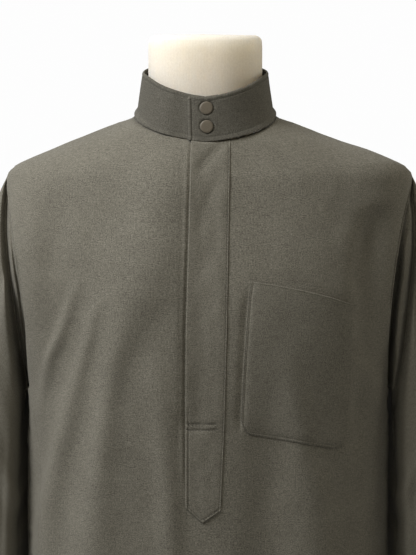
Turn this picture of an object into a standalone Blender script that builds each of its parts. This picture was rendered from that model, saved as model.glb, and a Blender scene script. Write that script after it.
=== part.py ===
"""A long robe with a band collar on a limbless dress form with a pole and a round base.

Units are metres. +Z is up, the front faces -Y and +X is the wearer's left.
The floor under the base is z = 0.

The robe's body is one smooth surface, body_point(turn, z). Its rings are worked out from
named half widths and depths. Turn 0 is the middle of the front, 1 the wearer's left side,
2 the middle of the back and 3 the wearer's right side. Every panel is a part of that
surface, made into a thin closed wall, with a small gap to the next panel at each seam.
"""
import math

import bmesh
import bpy
from mathutils import Vector

# cloth
WALL = 0.0014
SEAM_GAP = 0.0003
PATCH_WALL = 0.0015

# heights of the robe
NECK_FRONT_Z = 1.4675
NECK_SIDE_Z = 1.4967
NECK_BACK_Z = 1.5115
TIP_Z = 1.4385
UNDERARM_Z = 1.195
HEM_Z = 0.065
NECK_HALF_WIDTH = 0.0765

# the rings of the robe's body
BODY_COLUMNS = ("z", "half_width", "front", "back", "square", "shift")
BODY_RINGS = [
    (1.5300, 0.0720, 0.0400, 0.0680, 1.80, -0.0030),
    (1.5115, 0.0745, 0.0420, 0.0700, 1.80, -0.0030),
    (1.5030, 0.0762, 0.0460, 0.0730, 1.80, -0.0030),
    (1.4967, 0.0765, 0.0500, 0.0760, 1.80, -0.0030),
    (1.4854, 0.1040, 0.0640, 0.0810, 1.85, -0.0026),
    (1.4775, 0.1232, 0.0710, 0.0840, 1.90, -0.0020),
    (1.4675, 0.1475, 0.0765, 0.0870, 2.00, -0.0010),
    (1.4550, 0.1779, 0.0812, 0.0900, 2.10, 0.0010),
    (1.4450, 0.2010, 0.0848, 0.0925, 2.20, 0.0025),
    (1.4385, 0.2150, 0.0870, 0.0940, 2.25, 0.0035),
    (1.4280, 0.2262, 0.0905, 0.0965, 2.30, 0.0025),
    (1.4100, 0.2300, 0.0955, 0.1010, 2.30, 0.0010),
    (1.3800, 0.2315, 0.1030, 0.1080, 2.30, 0.0000),
    (1.3500, 0.2300, 0.1115, 0.1140, 2.30, 0.0000),
    (1.3000, 0.2235, 0.1220, 0.1190, 2.30, 0.0000),
    (1.2500, 0.2150, 0.1270, 0.1200, 2.30, 0.0000),
    (1.1950, 0.2055, 0.1292, 0.1180, 2.30, 0.0000),
    (1.1500, 0.2028, 0.1298, 0.1155, 2.30, 0.0000),
    (1.0000, 0.2020, 0.1320, 0.1130, 2.30, 0.0000),
    (0.8000, 0.2070, 0.1380, 0.1200, 2.25, 0.0000),
    (0.5000, 0.2230, 0.1490, 0.1360, 2.20, 0.0000),
    (0.0650, 0.2480, 0.1660, 0.1560, 2.20, 0.0000),
]

# how far in front of and behind the middle the armholes and the gore seams run
EDGE_COLUMNS = ("z", "front_y", "back_y")
SIDE_EDGES = [
    (1.4385, 0.0010, 0.0010),
    (1.4310, -0.0170, 0.0170),
    (1.4200, -0.0270, 0.0260),
    (1.4050, -0.0345, 0.0335),
    (1.3850, -0.0425, 0.0405),
    (1.3550, -0.0516, 0.0480),
    (1.3300, -0.0565, 0.0520),
    (1.2900, -0.0588, 0.0540),
    (1.2650, -0.0575, 0.0530),
    (1.2400, -0.0530, 0.0495),
    (1.2150, -0.0455, 0.0430),
    (1.1950, -0.0410, 0.0390),
    (1.1780, -0.0500, 0.0460),
    (1.1100, -0.0660, 0.0590),
    (1.0400, -0.0725, 0.0650),
    (1.0000, -0.0742, 0.0670),
    (0.5000, -0.0930, 0.0870),
    (0.0650, -0.1120, 0.1080),
]

# largest folds of the front: place at two heights, half width and depth (minus is a trough)
FOLD_COLUMNS = ("x_high", "z_high", "x_low", "z_low", "half_width", "depth")
FRONT_FOLDS = [
    (-0.1630, 1.295, -0.1800, 1.000, 0.0130, 0.0040),
    (-0.1450, 1.280, -0.1640, 1.030, 0.0110, -0.0035),
    (-0.1290, 1.270, -0.1470, 1.000, 0.0130, 0.0040),
    (-0.1180, 1.270, -0.1340, 1.030, 0.0100, -0.0030),
    (-0.1030, 1.260, -0.1230, 1.000, 0.0130, 0.0035),
    (-0.0960, 1.250, -0.0980, 1.000, 0.0150, -0.0060),
    (-0.0460, 1.230, -0.0340, 1.000, 0.0130, -0.0045),
    (0.0340, 1.240, 0.0420, 1.000, 0.0130, -0.0035),
    (0.1120, 1.190, 0.1400, 1.000, 0.0150, -0.0050),
]
BACK_FOLDS = [
    (0.1500, 1.330, 0.1640, 1.000, 0.0170, -0.0045),
    (0.0980, 1.300, 0.1120, 0.980, 0.0170, 0.0050),
    (0.0380, 1.260, 0.0460, 0.950, 0.0180, -0.0050),
    (-0.0300, 1.320, -0.0250, 0.980, 0.0170, 0.0045),
    (-0.0850, 1.290, -0.0930, 0.960, 0.0180, -0.0055),
    (-0.1440, 1.310, -0.1560, 1.000, 0.0160, 0.0045),
]

# loose waves of the skirt: turn of the crest, half width in turns and height at the hem
WAVE_COLUMNS = ("turn", "half_width", "height")
SKIRT_WAVES = [
    (0.20, 0.12, 0.013),
    (0.52, 0.11, -0.011),
    (0.80, 0.12, 0.011),
    (1.18, 0.13, -0.010),
    (1.50, 0.12, 0.013),
    (1.86, 0.13, -0.010),
    (2.24, 0.12, 0.012),
    (2.60, 0.12, -0.010),
    (2.92, 0.12, 0.010),
    (3.24, 0.11, -0.010),
    (3.50, 0.11, 0.012),
    (3.80, 0.11, -0.011),
]
WAVE_TOP_Z = 1.10

# rows of the panels: fractions from the neck to the shoulder tip, then heights
SHOULDER_ROWS = [0.0, 0.25, 0.5, 0.75]
ARMHOLE_ROWS = [TIP_Z, 1.431, 1.420, 1.405, 1.385, 1.360, 1.335, 1.310, 1.285, 1.260, 1.235, 1.215, UNDERARM_Z]
SKIRT_ROWS = [1.172, 1.145, 1.115, 1.085, 1.055, 1.025, 0.990, 0.950, 0.900, 0.840, 0.765, 0.680, 0.590,
              0.490, 0.385, 0.275, 0.165, HEM_Z]
FRONT_LINES = 27
BACK_LINES = 17
GORE_LINES = 7

# slit of the front under the placket
SLIT_X = -0.0130
SLIT_HALF = 0.0004
SLIT_BOTTOM_Z = 1.172

# placket strip: its outline seen from the front
OUTLINE_COLUMNS = ("x", "z")
PLACKET_OUTLINE = [
    (-0.0185, 1.4668),
    (-0.0238, 1.2659),
    (-0.0243, 1.1574),
    (-0.0244, 1.0728),
    (-0.0061, 1.0563),
    (0.0139, 1.0692),
    (0.0181, 1.1574),
    (0.0210, 1.2659),
    (0.0246, 1.4668),
]

# patch pocket: its outline seen from the front
POCKET_OUTLINE = [
    (0.0465, 1.3178),
    (0.0435, 1.2972),
    (0.0390, 1.2349),
    (0.0360, 1.1766),
    (0.0366, 1.1625),
    (0.0395, 1.1550),
    (0.0450, 1.1515),
    (0.1370, 1.1340),
    (0.1430, 1.1345),
    (0.1478, 1.1395),
    (0.1507, 1.1500),
    (0.1567, 1.2190),
    (0.1600, 1.2905),
    (0.1044, 1.3074),
]

# band collar
COLLAR_WALL = 0.0019
COLLAR_TOP_HALF_WIDTH = 0.0705
COLLAR_TOP_FRONT = 0.0705
COLLAR_TOP_BACK = 0.0665
COLLAR_LIFT = 0.0004
COLLAR_LAP_STEP = 0.0024
COLLAR_START = -13.5
COLLAR_END = 371.0
COLLAR_STEP_FROM = 322.0
COLLAR_STEP_TO = 342.0
COLLAR_TOP_COLUMNS = ("angle", "z")
COLLAR_TOP = [
    (0.0, 1.5155),
    (15.0, 1.5185),
    (40.0, 1.5272),
    (70.0, 1.5385),
    (90.0, 1.5420),
    (135.0, 1.5480),
    (180.0, 1.5510),
]

# snap caps
SNAP_RADIUS = 0.0073
SNAP_HEIGHT = 0.0021
SNAP_X = -0.0021
SNAP_HEIGHTS = {"snap_upper": 1.5043, "snap_lower": 1.4841}

# sleeves: four guide lines from the armhole (0) to the cuff (1), for the wearer's left
SLEEVE_COLUMNS = ("along", "over_x", "over_z", "under_x", "under_z", "fore_x", "fore_y", "fore_z",
                  "hind_x", "hind_y", "hind_z")
SLEEVE_GUIDES = [
    (0.00, 0.2200, 1.4385, 0.2050, 1.1950, 0.2045, -0.0585, 1.310, 0.2045, 0.0540, 1.310),
    (0.03, 0.2276, 1.4225, 0.2090, 1.1935, 0.2095, -0.0590, 1.303, 0.2080, 0.0550, 1.303),
    (0.07, 0.2360, 1.4000, 0.2100, 1.1870, 0.2145, -0.0590, 1.291, 0.2100, 0.0560, 1.291),
    (0.12, 0.2460, 1.3720, 0.2092, 1.1770, 0.2180, -0.0600, 1.274, 0.2100, 0.0580, 1.274),
    (0.18, 0.2560, 1.3380, 0.2082, 1.1610, 0.2220, -0.0620, 1.251, 0.2090, 0.0620, 1.251),
    (0.26, 0.2650, 1.2900, 0.2076, 1.1380, 0.2260, -0.0660, 1.218, 0.2080, 0.0680, 1.218),
    (0.36, 0.2730, 1.2310, 0.2075, 1.1070, 0.2300, -0.0700, 1.173, 0.2076, 0.0740, 1.173),
    (0.48, 0.2790, 1.1600, 0.2075, 1.0690, 0.2330, -0.0725, 1.116, 0.2076, 0.0780, 1.116),
    (0.60, 0.2825, 1.0880, 0.2080, 1.0260, 0.2355, -0.0730, 1.058, 0.2082, 0.0795, 1.058),
    (0.74, 0.2850, 1.0040, 0.2105, 0.9700, 0.2380, -0.0720, 0.986, 0.2108, 0.0785, 0.986),
    (0.88, 0.2875, 0.9200, 0.2135, 0.9100, 0.2415, -0.0700, 0.914, 0.2142, 0.0765, 0.914),
    (1.00, 0.2890, 0.8480, 0.2165, 0.8540, 0.2445, -0.0680, 0.850, 0.2180, 0.0745, 0.850),
]
SLEEVE_ROWS = [0.0, 0.02, 0.05, 0.10, 0.17, 0.26, 0.37, 0.50, 0.63, 0.76, 0.88, 1.0]
SLEEVE_SQUARE = 0.84
SLEEVE_GAP = 0.00045

# dress form
FORM_COLUMNS = ("z", "half_width", "front", "back", "square", "shift")
FORM_RINGS = [
    (1.5840, 0.0560, 0.0490, 0.0530, 2.30, -0.0030),
    (1.5820, 0.0600, 0.0530, 0.0570, 2.30, -0.0030),
    (1.5780, 0.0628, 0.0558, 0.0598, 2.30, -0.0030),
    (1.5700, 0.0634, 0.0565, 0.0605, 2.30, -0.0030),
    (1.5450, 0.0634, 0.0565, 0.0605, 2.30, -0.0030),
    (1.5200, 0.0634, 0.0565, 0.0605, 2.30, -0.0030),
    (1.5060, 0.0642, 0.0560, 0.0615, 2.20, -0.0030),
    (1.4980, 0.0660, 0.0530, 0.0640, 2.00, -0.0030),
    (1.4916, 0.0790, 0.0520, 0.0700, 1.85, -0.0028),
    (1.4816, 0.1040, 0.0605, 0.0760, 1.85, -0.0024),
    (1.4696, 0.1335, 0.0690, 0.0810, 1.95, -0.0010),
    (1.4576, 0.1625, 0.0745, 0.0845, 2.05, 0.0000),
    (1.4466, 0.1845, 0.0785, 0.0875, 2.20, 0.0000),
    (1.4320, 0.1985, 0.0825, 0.0905, 2.25, 0.0000),
    (1.4150, 0.2000, 0.0870, 0.0940, 2.30, 0.0000),
    (1.3900, 0.1950, 0.0940, 0.0995, 2.30, 0.0000),
    (1.3550, 0.1850, 0.1025, 0.1060, 2.30, 0.0000),
    (1.3100, 0.1740, 0.1100, 0.1100, 2.30, 0.0000),
    (1.2500, 0.1640, 0.1140, 0.1090, 2.25, 0.0000),
    (1.1800, 0.1540, 0.1110, 0.1030, 2.20, 0.0000),
    (1.1000, 0.1440, 0.1040, 0.0950, 2.20, 0.0000),
    (1.0200, 0.1450, 0.1030, 0.0950, 2.20, 0.0000),
    (0.9300, 0.1570, 0.1080, 0.1020, 2.20, 0.0000),
    (0.8500, 0.1630, 0.1110, 0.1060, 2.25, 0.0000),
    (0.8000, 0.1610, 0.1090, 0.1040, 2.25, 0.0000),
    (0.7860, 0.1570, 0.1050, 0.1000, 2.25, 0.0000),
    (0.7800, 0.1480, 0.0960, 0.0910, 2.25, 0.0000),
]
FORM_SIDES = 28
POLE_RADIUS = 0.016
POLE_SIDES = 24
BASE_RADIUS = 0.170
BASE_HEIGHT = 0.016
BASE_SIDES = 48

COLOURS = {
    "cloth": (0.105, 0.098, 0.078, 1.0),
    "jersey": (0.72, 0.66, 0.56, 1.0),
    "metal": (0.16, 0.135, 0.105, 1.0),
    "steel": (0.55, 0.55, 0.54, 1.0),
}


def column(table, columns, name):
    """The heights (or angles) and the values of one named column, in rising order."""
    place = columns.index(name)
    pairs = sorted((row[0], row[place]) for row in table)
    return [p[0] for p in pairs], [p[1] for p in pairs]


def slopes(xs, ys):
    """Slopes that keep a curve through the points free of overshoot."""
    steps = [(ys[i + 1] - ys[i]) / (xs[i + 1] - xs[i]) for i in range(len(xs) - 1)]
    found = [steps[0]]
    for before, after in zip(steps, steps[1:]):
        if before * after <= 0:
            found.append(0.0)
        else:
            found.append(2 * before * after / (before + after))
    found.append(steps[-1])
    return found


def curve(xs, ys):
    """A smooth function through the points, level beyond both ends."""
    tilt = slopes(xs, ys)

    def value(x):
        if x <= xs[0]:
            return ys[0]
        if x >= xs[-1]:
            return ys[-1]
        i = 0
        while x > xs[i + 1]:
            i += 1
        h = xs[i + 1] - xs[i]
        t = (x - xs[i]) / h
        rise = (1 + 2 * t) * (1 - t) ** 2 * ys[i] + t * t * (3 - 2 * t) * ys[i + 1]
        return rise + h * (t * (1 - t) ** 2 * tilt[i] - t * t * (1 - t) * tilt[i + 1])

    return value


def curves(table, columns):
    """One smooth function for each named column after the first."""
    return {name: curve(*column(table, columns, name)) for name in columns[1:]}


BODY = curves(BODY_RINGS, BODY_COLUMNS)
EDGE = curves(SIDE_EDGES, EDGE_COLUMNS)
FORM = curves(FORM_RINGS, FORM_COLUMNS)
SLEEVE = curves(SLEEVE_GUIDES, SLEEVE_COLUMNS)
COLLAR_TOP_Z = curves(COLLAR_TOP, COLLAR_TOP_COLUMNS)["z"]


def power(value, exponent):
    """A signed power."""
    return math.copysign(abs(value) ** exponent, value)


def ease(value):
    """A smooth step from 0 to 1."""
    t = max(0.0, min(1.0, value))
    return t * t * (3 - 2 * t)


def ring_point(rings, turn, z):
    """A point of a ring: turn 0 front, 1 wearer's left, 2 back, 3 wearer's right."""
    angle = math.pi / 2 * turn
    bend = 2 / rings["square"](z)
    cos = math.cos(angle)
    depth = rings["front"](z) if cos >= 0 else rings["back"](z)
    x = rings["shift"](z) + rings["half_width"](z) * power(math.sin(angle), bend)
    return Vector((x, -depth * power(cos, bend), z))


def fold_height(folds, x, z):
    """How far the folds of one side push the cloth out at x and z."""
    total = 0.0
    for x_high, z_high, x_low, z_low, half_width, depth in folds:
        t = (z_high - z) / (z_high - z_low)
        place = x_high + (x_low - x_high) * min(t, 1.6)
        spread = half_width * (1 + 0.25 * max(0.0, t - 1))
        strength = ease((z_high + 0.03 - z) / 0.13)
        total += depth * strength * math.exp(-((x - place) / spread) ** 2)
    return total


def wave_height(turn, z):
    """How far the loose waves of the skirt push the cloth out."""
    total = 0.0
    for crest, half_width, height in SKIRT_WAVES:
        away = (turn - crest + 2) % 4 - 2
        total += height * math.exp(-(away / half_width) ** 2)
    return total * ease((WAVE_TOP_Z - z) / (WAVE_TOP_Z - HEM_Z)) ** 1.2


def smooth_normal(rings, turn, z):
    """The outward direction of the unfolded surface."""
    around = ring_point(rings, turn + 0.012, z) - ring_point(rings, turn - 0.012, z)
    up = ring_point(rings, turn, z + 0.003) - ring_point(rings, turn, z - 0.003)
    return around.cross(up).normalized()


def body_point(turn, z):
    """A point of the robe's outer surface."""
    base = ring_point(BODY, turn, z)
    side = math.cos(math.pi / 2 * turn)
    folds = FRONT_FOLDS if side >= 0 else BACK_FOLDS
    push = fold_height(folds, base.x, z) * ease(abs(side) * 2.2) + wave_height(turn, z)
    return base + smooth_normal(BODY, turn, z) * push


def body_normal(turn, z):
    """The outward direction of the robe's folded surface."""
    around = body_point(turn + 0.012, z) - body_point(turn - 0.012, z)
    up = body_point(turn, z + 0.003) - body_point(turn, z - 0.003)
    return around.cross(up).normalized()


def turn_of_y(y, z):
    """The turn, from 0 to 2, at which a ring of the robe has this y on the wearer's left."""
    depth = BODY["front"](z) if y < 0 else BODY["back"](z)
    share = min(1.0, abs(y) / depth) ** (BODY["square"](z) / 2)
    angle = math.acos(share) / (math.pi / 2)
    return angle if y < 0 else 2 - angle


def turn_of_x(x, z, back):
    """The turn at which a ring of the robe has this x, on the front or on the back."""
    share = max(-1.0, min(1.0, (x - BODY["shift"](z)) / BODY["half_width"](z)))
    angle = math.asin(power(share, BODY["square"](z) / 2)) / (math.pi / 2)
    return 2 - angle if back else angle


def neck_z(line, back):
    """Height of the neckline; line is 0 in the middle and 1 or -1 at the shoulder seams."""
    if back:
        return NECK_BACK_Z - (NECK_BACK_Z - NECK_SIDE_Z) * abs(line) ** 1.6
    return NECK_FRONT_Z + (NECK_SIDE_Z - NECK_FRONT_Z) * abs(line) ** 1.45


def neck_turn(line, back):
    """Turn of the neckline for a line of the panel."""
    z = neck_z(line, back)
    if abs(line) >= 1:
        near = math.copysign(1.0, line)
        return 2 - near if back else near
    x = BODY["shift"](z) + NECK_HALF_WIDTH * math.sin(math.pi / 2 * line)
    return turn_of_x(x, z, back)


def half_gap_turn(turn, z):
    """The share of a turn that makes half a seam gap on a ring."""
    step = 0.004
    span = (ring_point(BODY, turn + step, z) - ring_point(BODY, turn - step, z)).length
    return SEAM_GAP * 0.55 / (span / (2 * step))


def panel_turn(line, z, back):
    """Turn of a line of the front or back panel at a height below the shoulder tip."""
    if back:
        edge = turn_of_y(EDGE["back_y"](z), z)
        edge += half_gap_turn(edge, z)
        return 2 - line * (2 - edge)
    edge = turn_of_y(EDGE["front_y"](z), z)
    edge -= half_gap_turn(edge, z)
    return line * edge


def panel_places(line, back):
    """The (turn, z) places down one line of a panel, from the neck to the hem."""
    places = []
    top_z = neck_z(line, back)
    top_turn = neck_turn(line, back)
    low_turn = panel_turn(line, TIP_Z, back)
    for share in SHOULDER_ROWS:
        z = top_z + (TIP_Z - top_z) * share
        turn = top_turn + (low_turn - top_turn) * share
        if abs(line) >= 1:
            trim = half_gap_turn(1.0, z) * math.copysign(1, line)
            turn = (2 - line + trim) if back else (line - trim)
        places.append((turn, z))
    for z in ARMHOLE_ROWS + SKIRT_ROWS:
        places.append((panel_turn(line, z, back), z))
    return places


def line_places(count, crowd):
    """Places of the lines from -1 to 1, closer together in the middle where crowd is over 0."""
    found = []
    for i in range(count):
        t = 2 * i / (count - 1) - 1
        found.append(t * (1 - crowd) + crowd * t * abs(t))
    return found


def grid_faces(rows, lines, start=0):
    """Quads of a grid whose points are stored row by row."""
    faces = []
    for r in range(rows - 1):
        for c in range(lines - 1):
            a = start + r * lines + c
            faces.append((a, a + lines, a + lines + 1, a + 1))
    return faces


def add_object(name, points, faces, colour, smooth=True):
    """A mesh object with its own material."""
    mesh = bpy.data.meshes.new(name)
    mesh.from_pydata([tuple(p) for p in points], [], faces)
    shape = bmesh.new()
    shape.from_mesh(mesh)
    bmesh.ops.recalc_face_normals(shape, faces=shape.faces)
    shape.to_mesh(mesh)
    shape.free()
    for face in mesh.polygons:
        face.use_smooth = smooth
    material = bpy.data.materials.new(name)
    material.use_nodes = True
    shader = material.node_tree.nodes["Principled BSDF"]
    shader.inputs["Base Color"].default_value = COLOURS[colour]
    shader.inputs["Roughness"].default_value = 0.35 if colour in ("metal", "steel") else 0.9
    shader.inputs["Metallic"].default_value = 1.0 if colour in ("metal", "steel") else 0.0
    mesh.materials.append(material)
    thing = bpy.data.objects.new(name, mesh)
    bpy.context.scene.collection.objects.link(thing)
    return thing


def open_edges(faces):
    """Directed edges that only one face uses."""
    used = {}
    for face in faces:
        for i, a in enumerate(face):
            b = face[(i + 1) % len(face)]
            used[(a, b)] = True
    return [edge for edge in used if (edge[1], edge[0]) not in used]


def wall(name, points, normals, faces, colour, thickness=WALL, lift=0.0):
    """A closed wall: outer skin, inner skin and a strip along every open edge."""
    count = len(points)
    outer = [p + n * lift for p, n in zip(points, normals)]
    inner = [p + n * (lift - thickness) for p, n in zip(points, normals)]
    strips = [(b, a, a + count, b + count) for a, b in open_edges(faces)]
    back_faces = [tuple(i + count for i in reversed(face)) for face in faces]
    return add_object(name, outer + inner, list(faces) + back_faces + strips, colour)


def mesh_normals(points, faces):
    """Average directions of the faces at each point."""
    total = [Vector((0, 0, 0)) for _ in points]
    for face in faces:
        corners = [points[i] for i in face]
        normal = Vector((0, 0, 0))
        for i, p in enumerate(corners):
            normal += p.cross(corners[(i + 1) % len(corners)])
        for i in face:
            total[i] += normal
    return [n.normalized() for n in total]


def front_panel():
    """Points, normals and faces of the front's outer skin, with the slit under the placket."""
    lines = line_places(FRONT_LINES, 0.12)
    columns = [panel_places(line, False) for line in lines]
    rows = len(columns[0])
    slit_line = min(range(FRONT_LINES), key=lambda i: abs(body_point(*columns[i][12]).x - SLIT_X))
    points = []
    normals = []
    for r in range(rows):
        for c in range(FRONT_LINES):
            turn, z = columns[c][r]
            points.append(body_point(turn, z))
            normals.append(body_normal(turn, z))
    faces = grid_faces(rows, FRONT_LINES)
    copies = {}
    for r in range(rows):
        if columns[slit_line][r][1] > SLIT_BOTTOM_Z + 0.004:
            spot = r * FRONT_LINES + slit_line
            copies[spot] = len(points)
            points.append(points[spot] + Vector((SLIT_HALF, 0, 0)))
            normals.append(normals[spot])
            points[spot] = points[spot] - Vector((SLIT_HALF, 0, 0))
    slit_faces = []
    for face in faces:
        middle = sum(i % FRONT_LINES for i in face) / 4
        if middle > slit_line:
            face = tuple(copies.get(i, i) for i in face)
        slit_faces.append((face[0], face[1], face[2]))
        slit_faces.append((face[0], face[2], face[3]))
    return points, normals, slit_faces


def back_panel():
    """Points, normals and faces of the back's outer skin."""
    lines = line_places(BACK_LINES, 0.0)
    columns = [panel_places(-line, True) for line in lines]
    rows = len(columns[0])
    points = []
    normals = []
    for r in range(rows):
        for c in range(BACK_LINES):
            turn, z = columns[c][r]
            points.append(body_point(turn, z))
            normals.append(body_normal(turn, z))
    return points, normals, grid_faces(rows, BACK_LINES)


def gore_panel(side):
    """Points, normals and faces of the wedge under one arm; side is 1 or -1."""
    rows = [UNDERARM_Z] + SKIRT_ROWS
    points = []
    normals = []
    for r, z in enumerate(rows):
        near = turn_of_y(EDGE["front_y"](z), z)
        far = turn_of_y(EDGE["back_y"](z), z)
        near += half_gap_turn(near, z)
        far -= half_gap_turn(far, z)
        for i in range(GORE_LINES):
            share = i / (GORE_LINES - 1)
            turn = near + (far - near) * share
            dip = 0.006 * (1 - (2 * share - 1) ** 2) if r == 0 else 0.0
            turn = turn if side > 0 else 4 - turn
            points.append(body_point(turn, z - dip))
            normals.append(body_normal(turn, z - dip))
    faces = grid_faces(len(rows), GORE_LINES)
    if side < 0:
        faces = [tuple(reversed(face)) for face in faces]
    return points, normals, faces


def armhole_ring(side):
    """Places round one armhole: from the tip down the front, along the gore and up the back."""
    ring = []
    for z in ARMHOLE_ROWS:
        ring.append((turn_of_y(EDGE["front_y"](z), z), z, 1))
    for i in range(1, GORE_LINES - 1):
        share = i / (GORE_LINES - 1)
        near = turn_of_y(EDGE["front_y"](UNDERARM_Z), UNDERARM_Z)
        far = turn_of_y(EDGE["back_y"](UNDERARM_Z), UNDERARM_Z)
        dip = 0.006 * (1 - (2 * share - 1) ** 2)
        ring.append((near + (far - near) * share, UNDERARM_Z - dip, 0))
    for z in reversed(ARMHOLE_ROWS[1:]):
        ring.append((turn_of_y(EDGE["back_y"](z), z), z, -1))
    return [(turn if side > 0 else 4 - turn, z, which) for turn, z, which in ring]


def sleeve_guide(along):
    """The four guide points of a sleeve's ring on the wearer's left."""
    s = {name: SLEEVE[name](along) for name in SLEEVE_COLUMNS[1:]}
    over = Vector((s["over_x"], 0.0, s["over_z"]))
    under = Vector((s["under_x"], 0.0, s["under_z"]))
    fore = Vector((s["fore_x"], s["fore_y"], s["fore_z"]))
    hind = Vector((s["hind_x"], s["hind_y"], s["hind_z"]))
    return over, under, fore, hind


def sleeve_ring_point(along, angle):
    """A point of a sleeve's ring: angle 0 over, 90 fore, 180 under and 270 hind."""
    over, under, fore, hind = sleeve_guide(along)
    middle = (over + under) / 2
    lean = (fore + hind) / 2 - middle
    cos = power(math.cos(angle), SLEEVE_SQUARE)
    sin = power(math.sin(angle), SLEEVE_SQUARE)
    return middle + (over - under) / 2 * cos + (fore - hind) / 2 * sin + lean * sin * sin


def sleeve_fold(along, angle, side):
    """How far the folds of a sleeve push its cloth out."""
    degrees = math.degrees(angle)
    start = 62 if side > 0 else 58
    valley = -0.010 * math.exp(-((degrees - start) / 13) ** 2)
    second = -0.006 * math.exp(-((degrees - 305) / 16) ** 2)
    ridge = 0.003 * math.exp(-((degrees - 20) / 14) ** 2)
    return (valley + second + ridge) * ease((along - 0.02) / 0.12) * (1 - 0.35 * along)


def sleeve_skin(side):
    """Points, normals and faces of one sleeve's outer skin."""
    ring = armhole_ring(side)
    count = len(ring)
    nominal = [body_point(turn, z) for turn, z, which in ring]
    centre = Vector((side * 0.21, 0.0, 0.5 * (TIP_Z + UNDERARM_Z)))
    edge = []
    for i, spot in enumerate(nominal):
        turn, z, which = ring[i]
        along_edge = nominal[(i + 1) % count] - nominal[i - 1]
        out = along_edge.cross(body_normal(turn, z)).normalized()
        if i == 0:
            out = Vector((side * 0.45, 0.0, -0.89))
        elif out.dot(centre - spot) < 0:
            out = -out
        edge.append(spot + out * SLEEVE_GAP)
    lengths = [0.0]
    for i in range(count):
        lengths.append(lengths[-1] + (edge[(i + 1) % count] - edge[i]).length)
    half = lengths[len(ARMHOLE_ROWS) - 1 + (GORE_LINES - 1) // 2]
    total = lengths[-1]
    angles = []
    for i in range(count):
        here = lengths[i]
        if here <= half:
            angles.append(math.pi * here / half)
        else:
            angles.append(math.pi + math.pi * (here - half) / (total - half))
    points = []
    for row, along in enumerate(SLEEVE_ROWS):
        fade = 1 - ease(along / 0.30)
        for i, angle in enumerate(angles):
            round_point = sleeve_ring_point(along, angle)
            first = sleeve_ring_point(0.0, angle)
            if side < 0:
                round_point.x = -round_point.x
                first.x = -first.x
            point = edge[i] if row == 0 else round_point + (edge[i] - first) * fade
            points.append(point)
    faces = []
    for r in range(len(SLEEVE_ROWS) - 1):
        for i in range(count):
            a = r * count + i
            b = r * count + (i + 1) % count
            faces.append((a, b, b + count, a + count))
    if side < 0:
        faces = [tuple(reversed(face)) for face in faces]
    normals = mesh_normals(points, faces)
    for row, along in enumerate(SLEEVE_ROWS):
        for i, angle in enumerate(angles):
            spot = row * count + i
            points[spot] = points[spot] + normals[spot] * sleeve_fold(along, angle, side)
    normals = mesh_normals(points, faces)
    for i, (turn, z, which) in enumerate(ring):
        weight = 1.5 * (0.5 + 0.5 * math.cos(angles[i])) ** 1.5
        normals[i] = (normals[i] + body_normal(turn, z) * weight).normalized()
    return points, normals, faces


def collar_row_point(angle, share):
    """A point of the collar's outer face; share is 0 at the seam and 1 at the top edge."""
    plain = angle % 360
    line = plain / 90 if plain <= 180 else (plain - 360) / 90
    back = abs(line) > 1
    if back:
        line = math.copysign(2 - abs(line), line)
    z_low = neck_z(line, back) + COLLAR_LIFT
    turn = neck_turn(line, back)
    seam = ring_point(BODY, turn, neck_z(line, back))
    seam.z = z_low
    mirrored = plain if plain <= 180 else 360 - plain
    radians = math.radians(plain)
    depth = COLLAR_TOP_FRONT if math.cos(radians) >= 0 else COLLAR_TOP_BACK
    x = -0.003 + COLLAR_TOP_HALF_WIDTH * power(math.sin(radians), 0.94)
    top = Vector((x, -depth * power(math.cos(radians), 0.94), COLLAR_TOP_Z(mirrored)))
    point = seam.lerp(top, share)
    step = COLLAR_LAP_STEP * ease((angle - COLLAR_STEP_FROM) / (COLLAR_STEP_TO - COLLAR_STEP_FROM))
    outward = Vector((math.sin(radians), -math.cos(radians), 0))
    return point - outward * step


def collar_skin():
    """Points, normals and faces of the band collar's outer face, from lap to underlap."""
    angles = [COLLAR_START, -9.0, 0.0]
    angles += [9.0 * i for i in range(1, 40)]
    angles += [360.0, 366.0, COLLAR_END]
    shares = [0.0, 0.33, 0.67, 1.0]
    points = []
    for share in shares:
        for angle in angles:
            points.append(collar_row_point(angle, share))
    faces = []
    lines = len(angles)
    for r in range(len(shares) - 1):
        for c in range(lines - 1):
            a = r * lines + c
            faces.append((a, a + 1, a + lines + 1, a + lines))
    return points, mesh_normals(points, faces), faces


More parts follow.
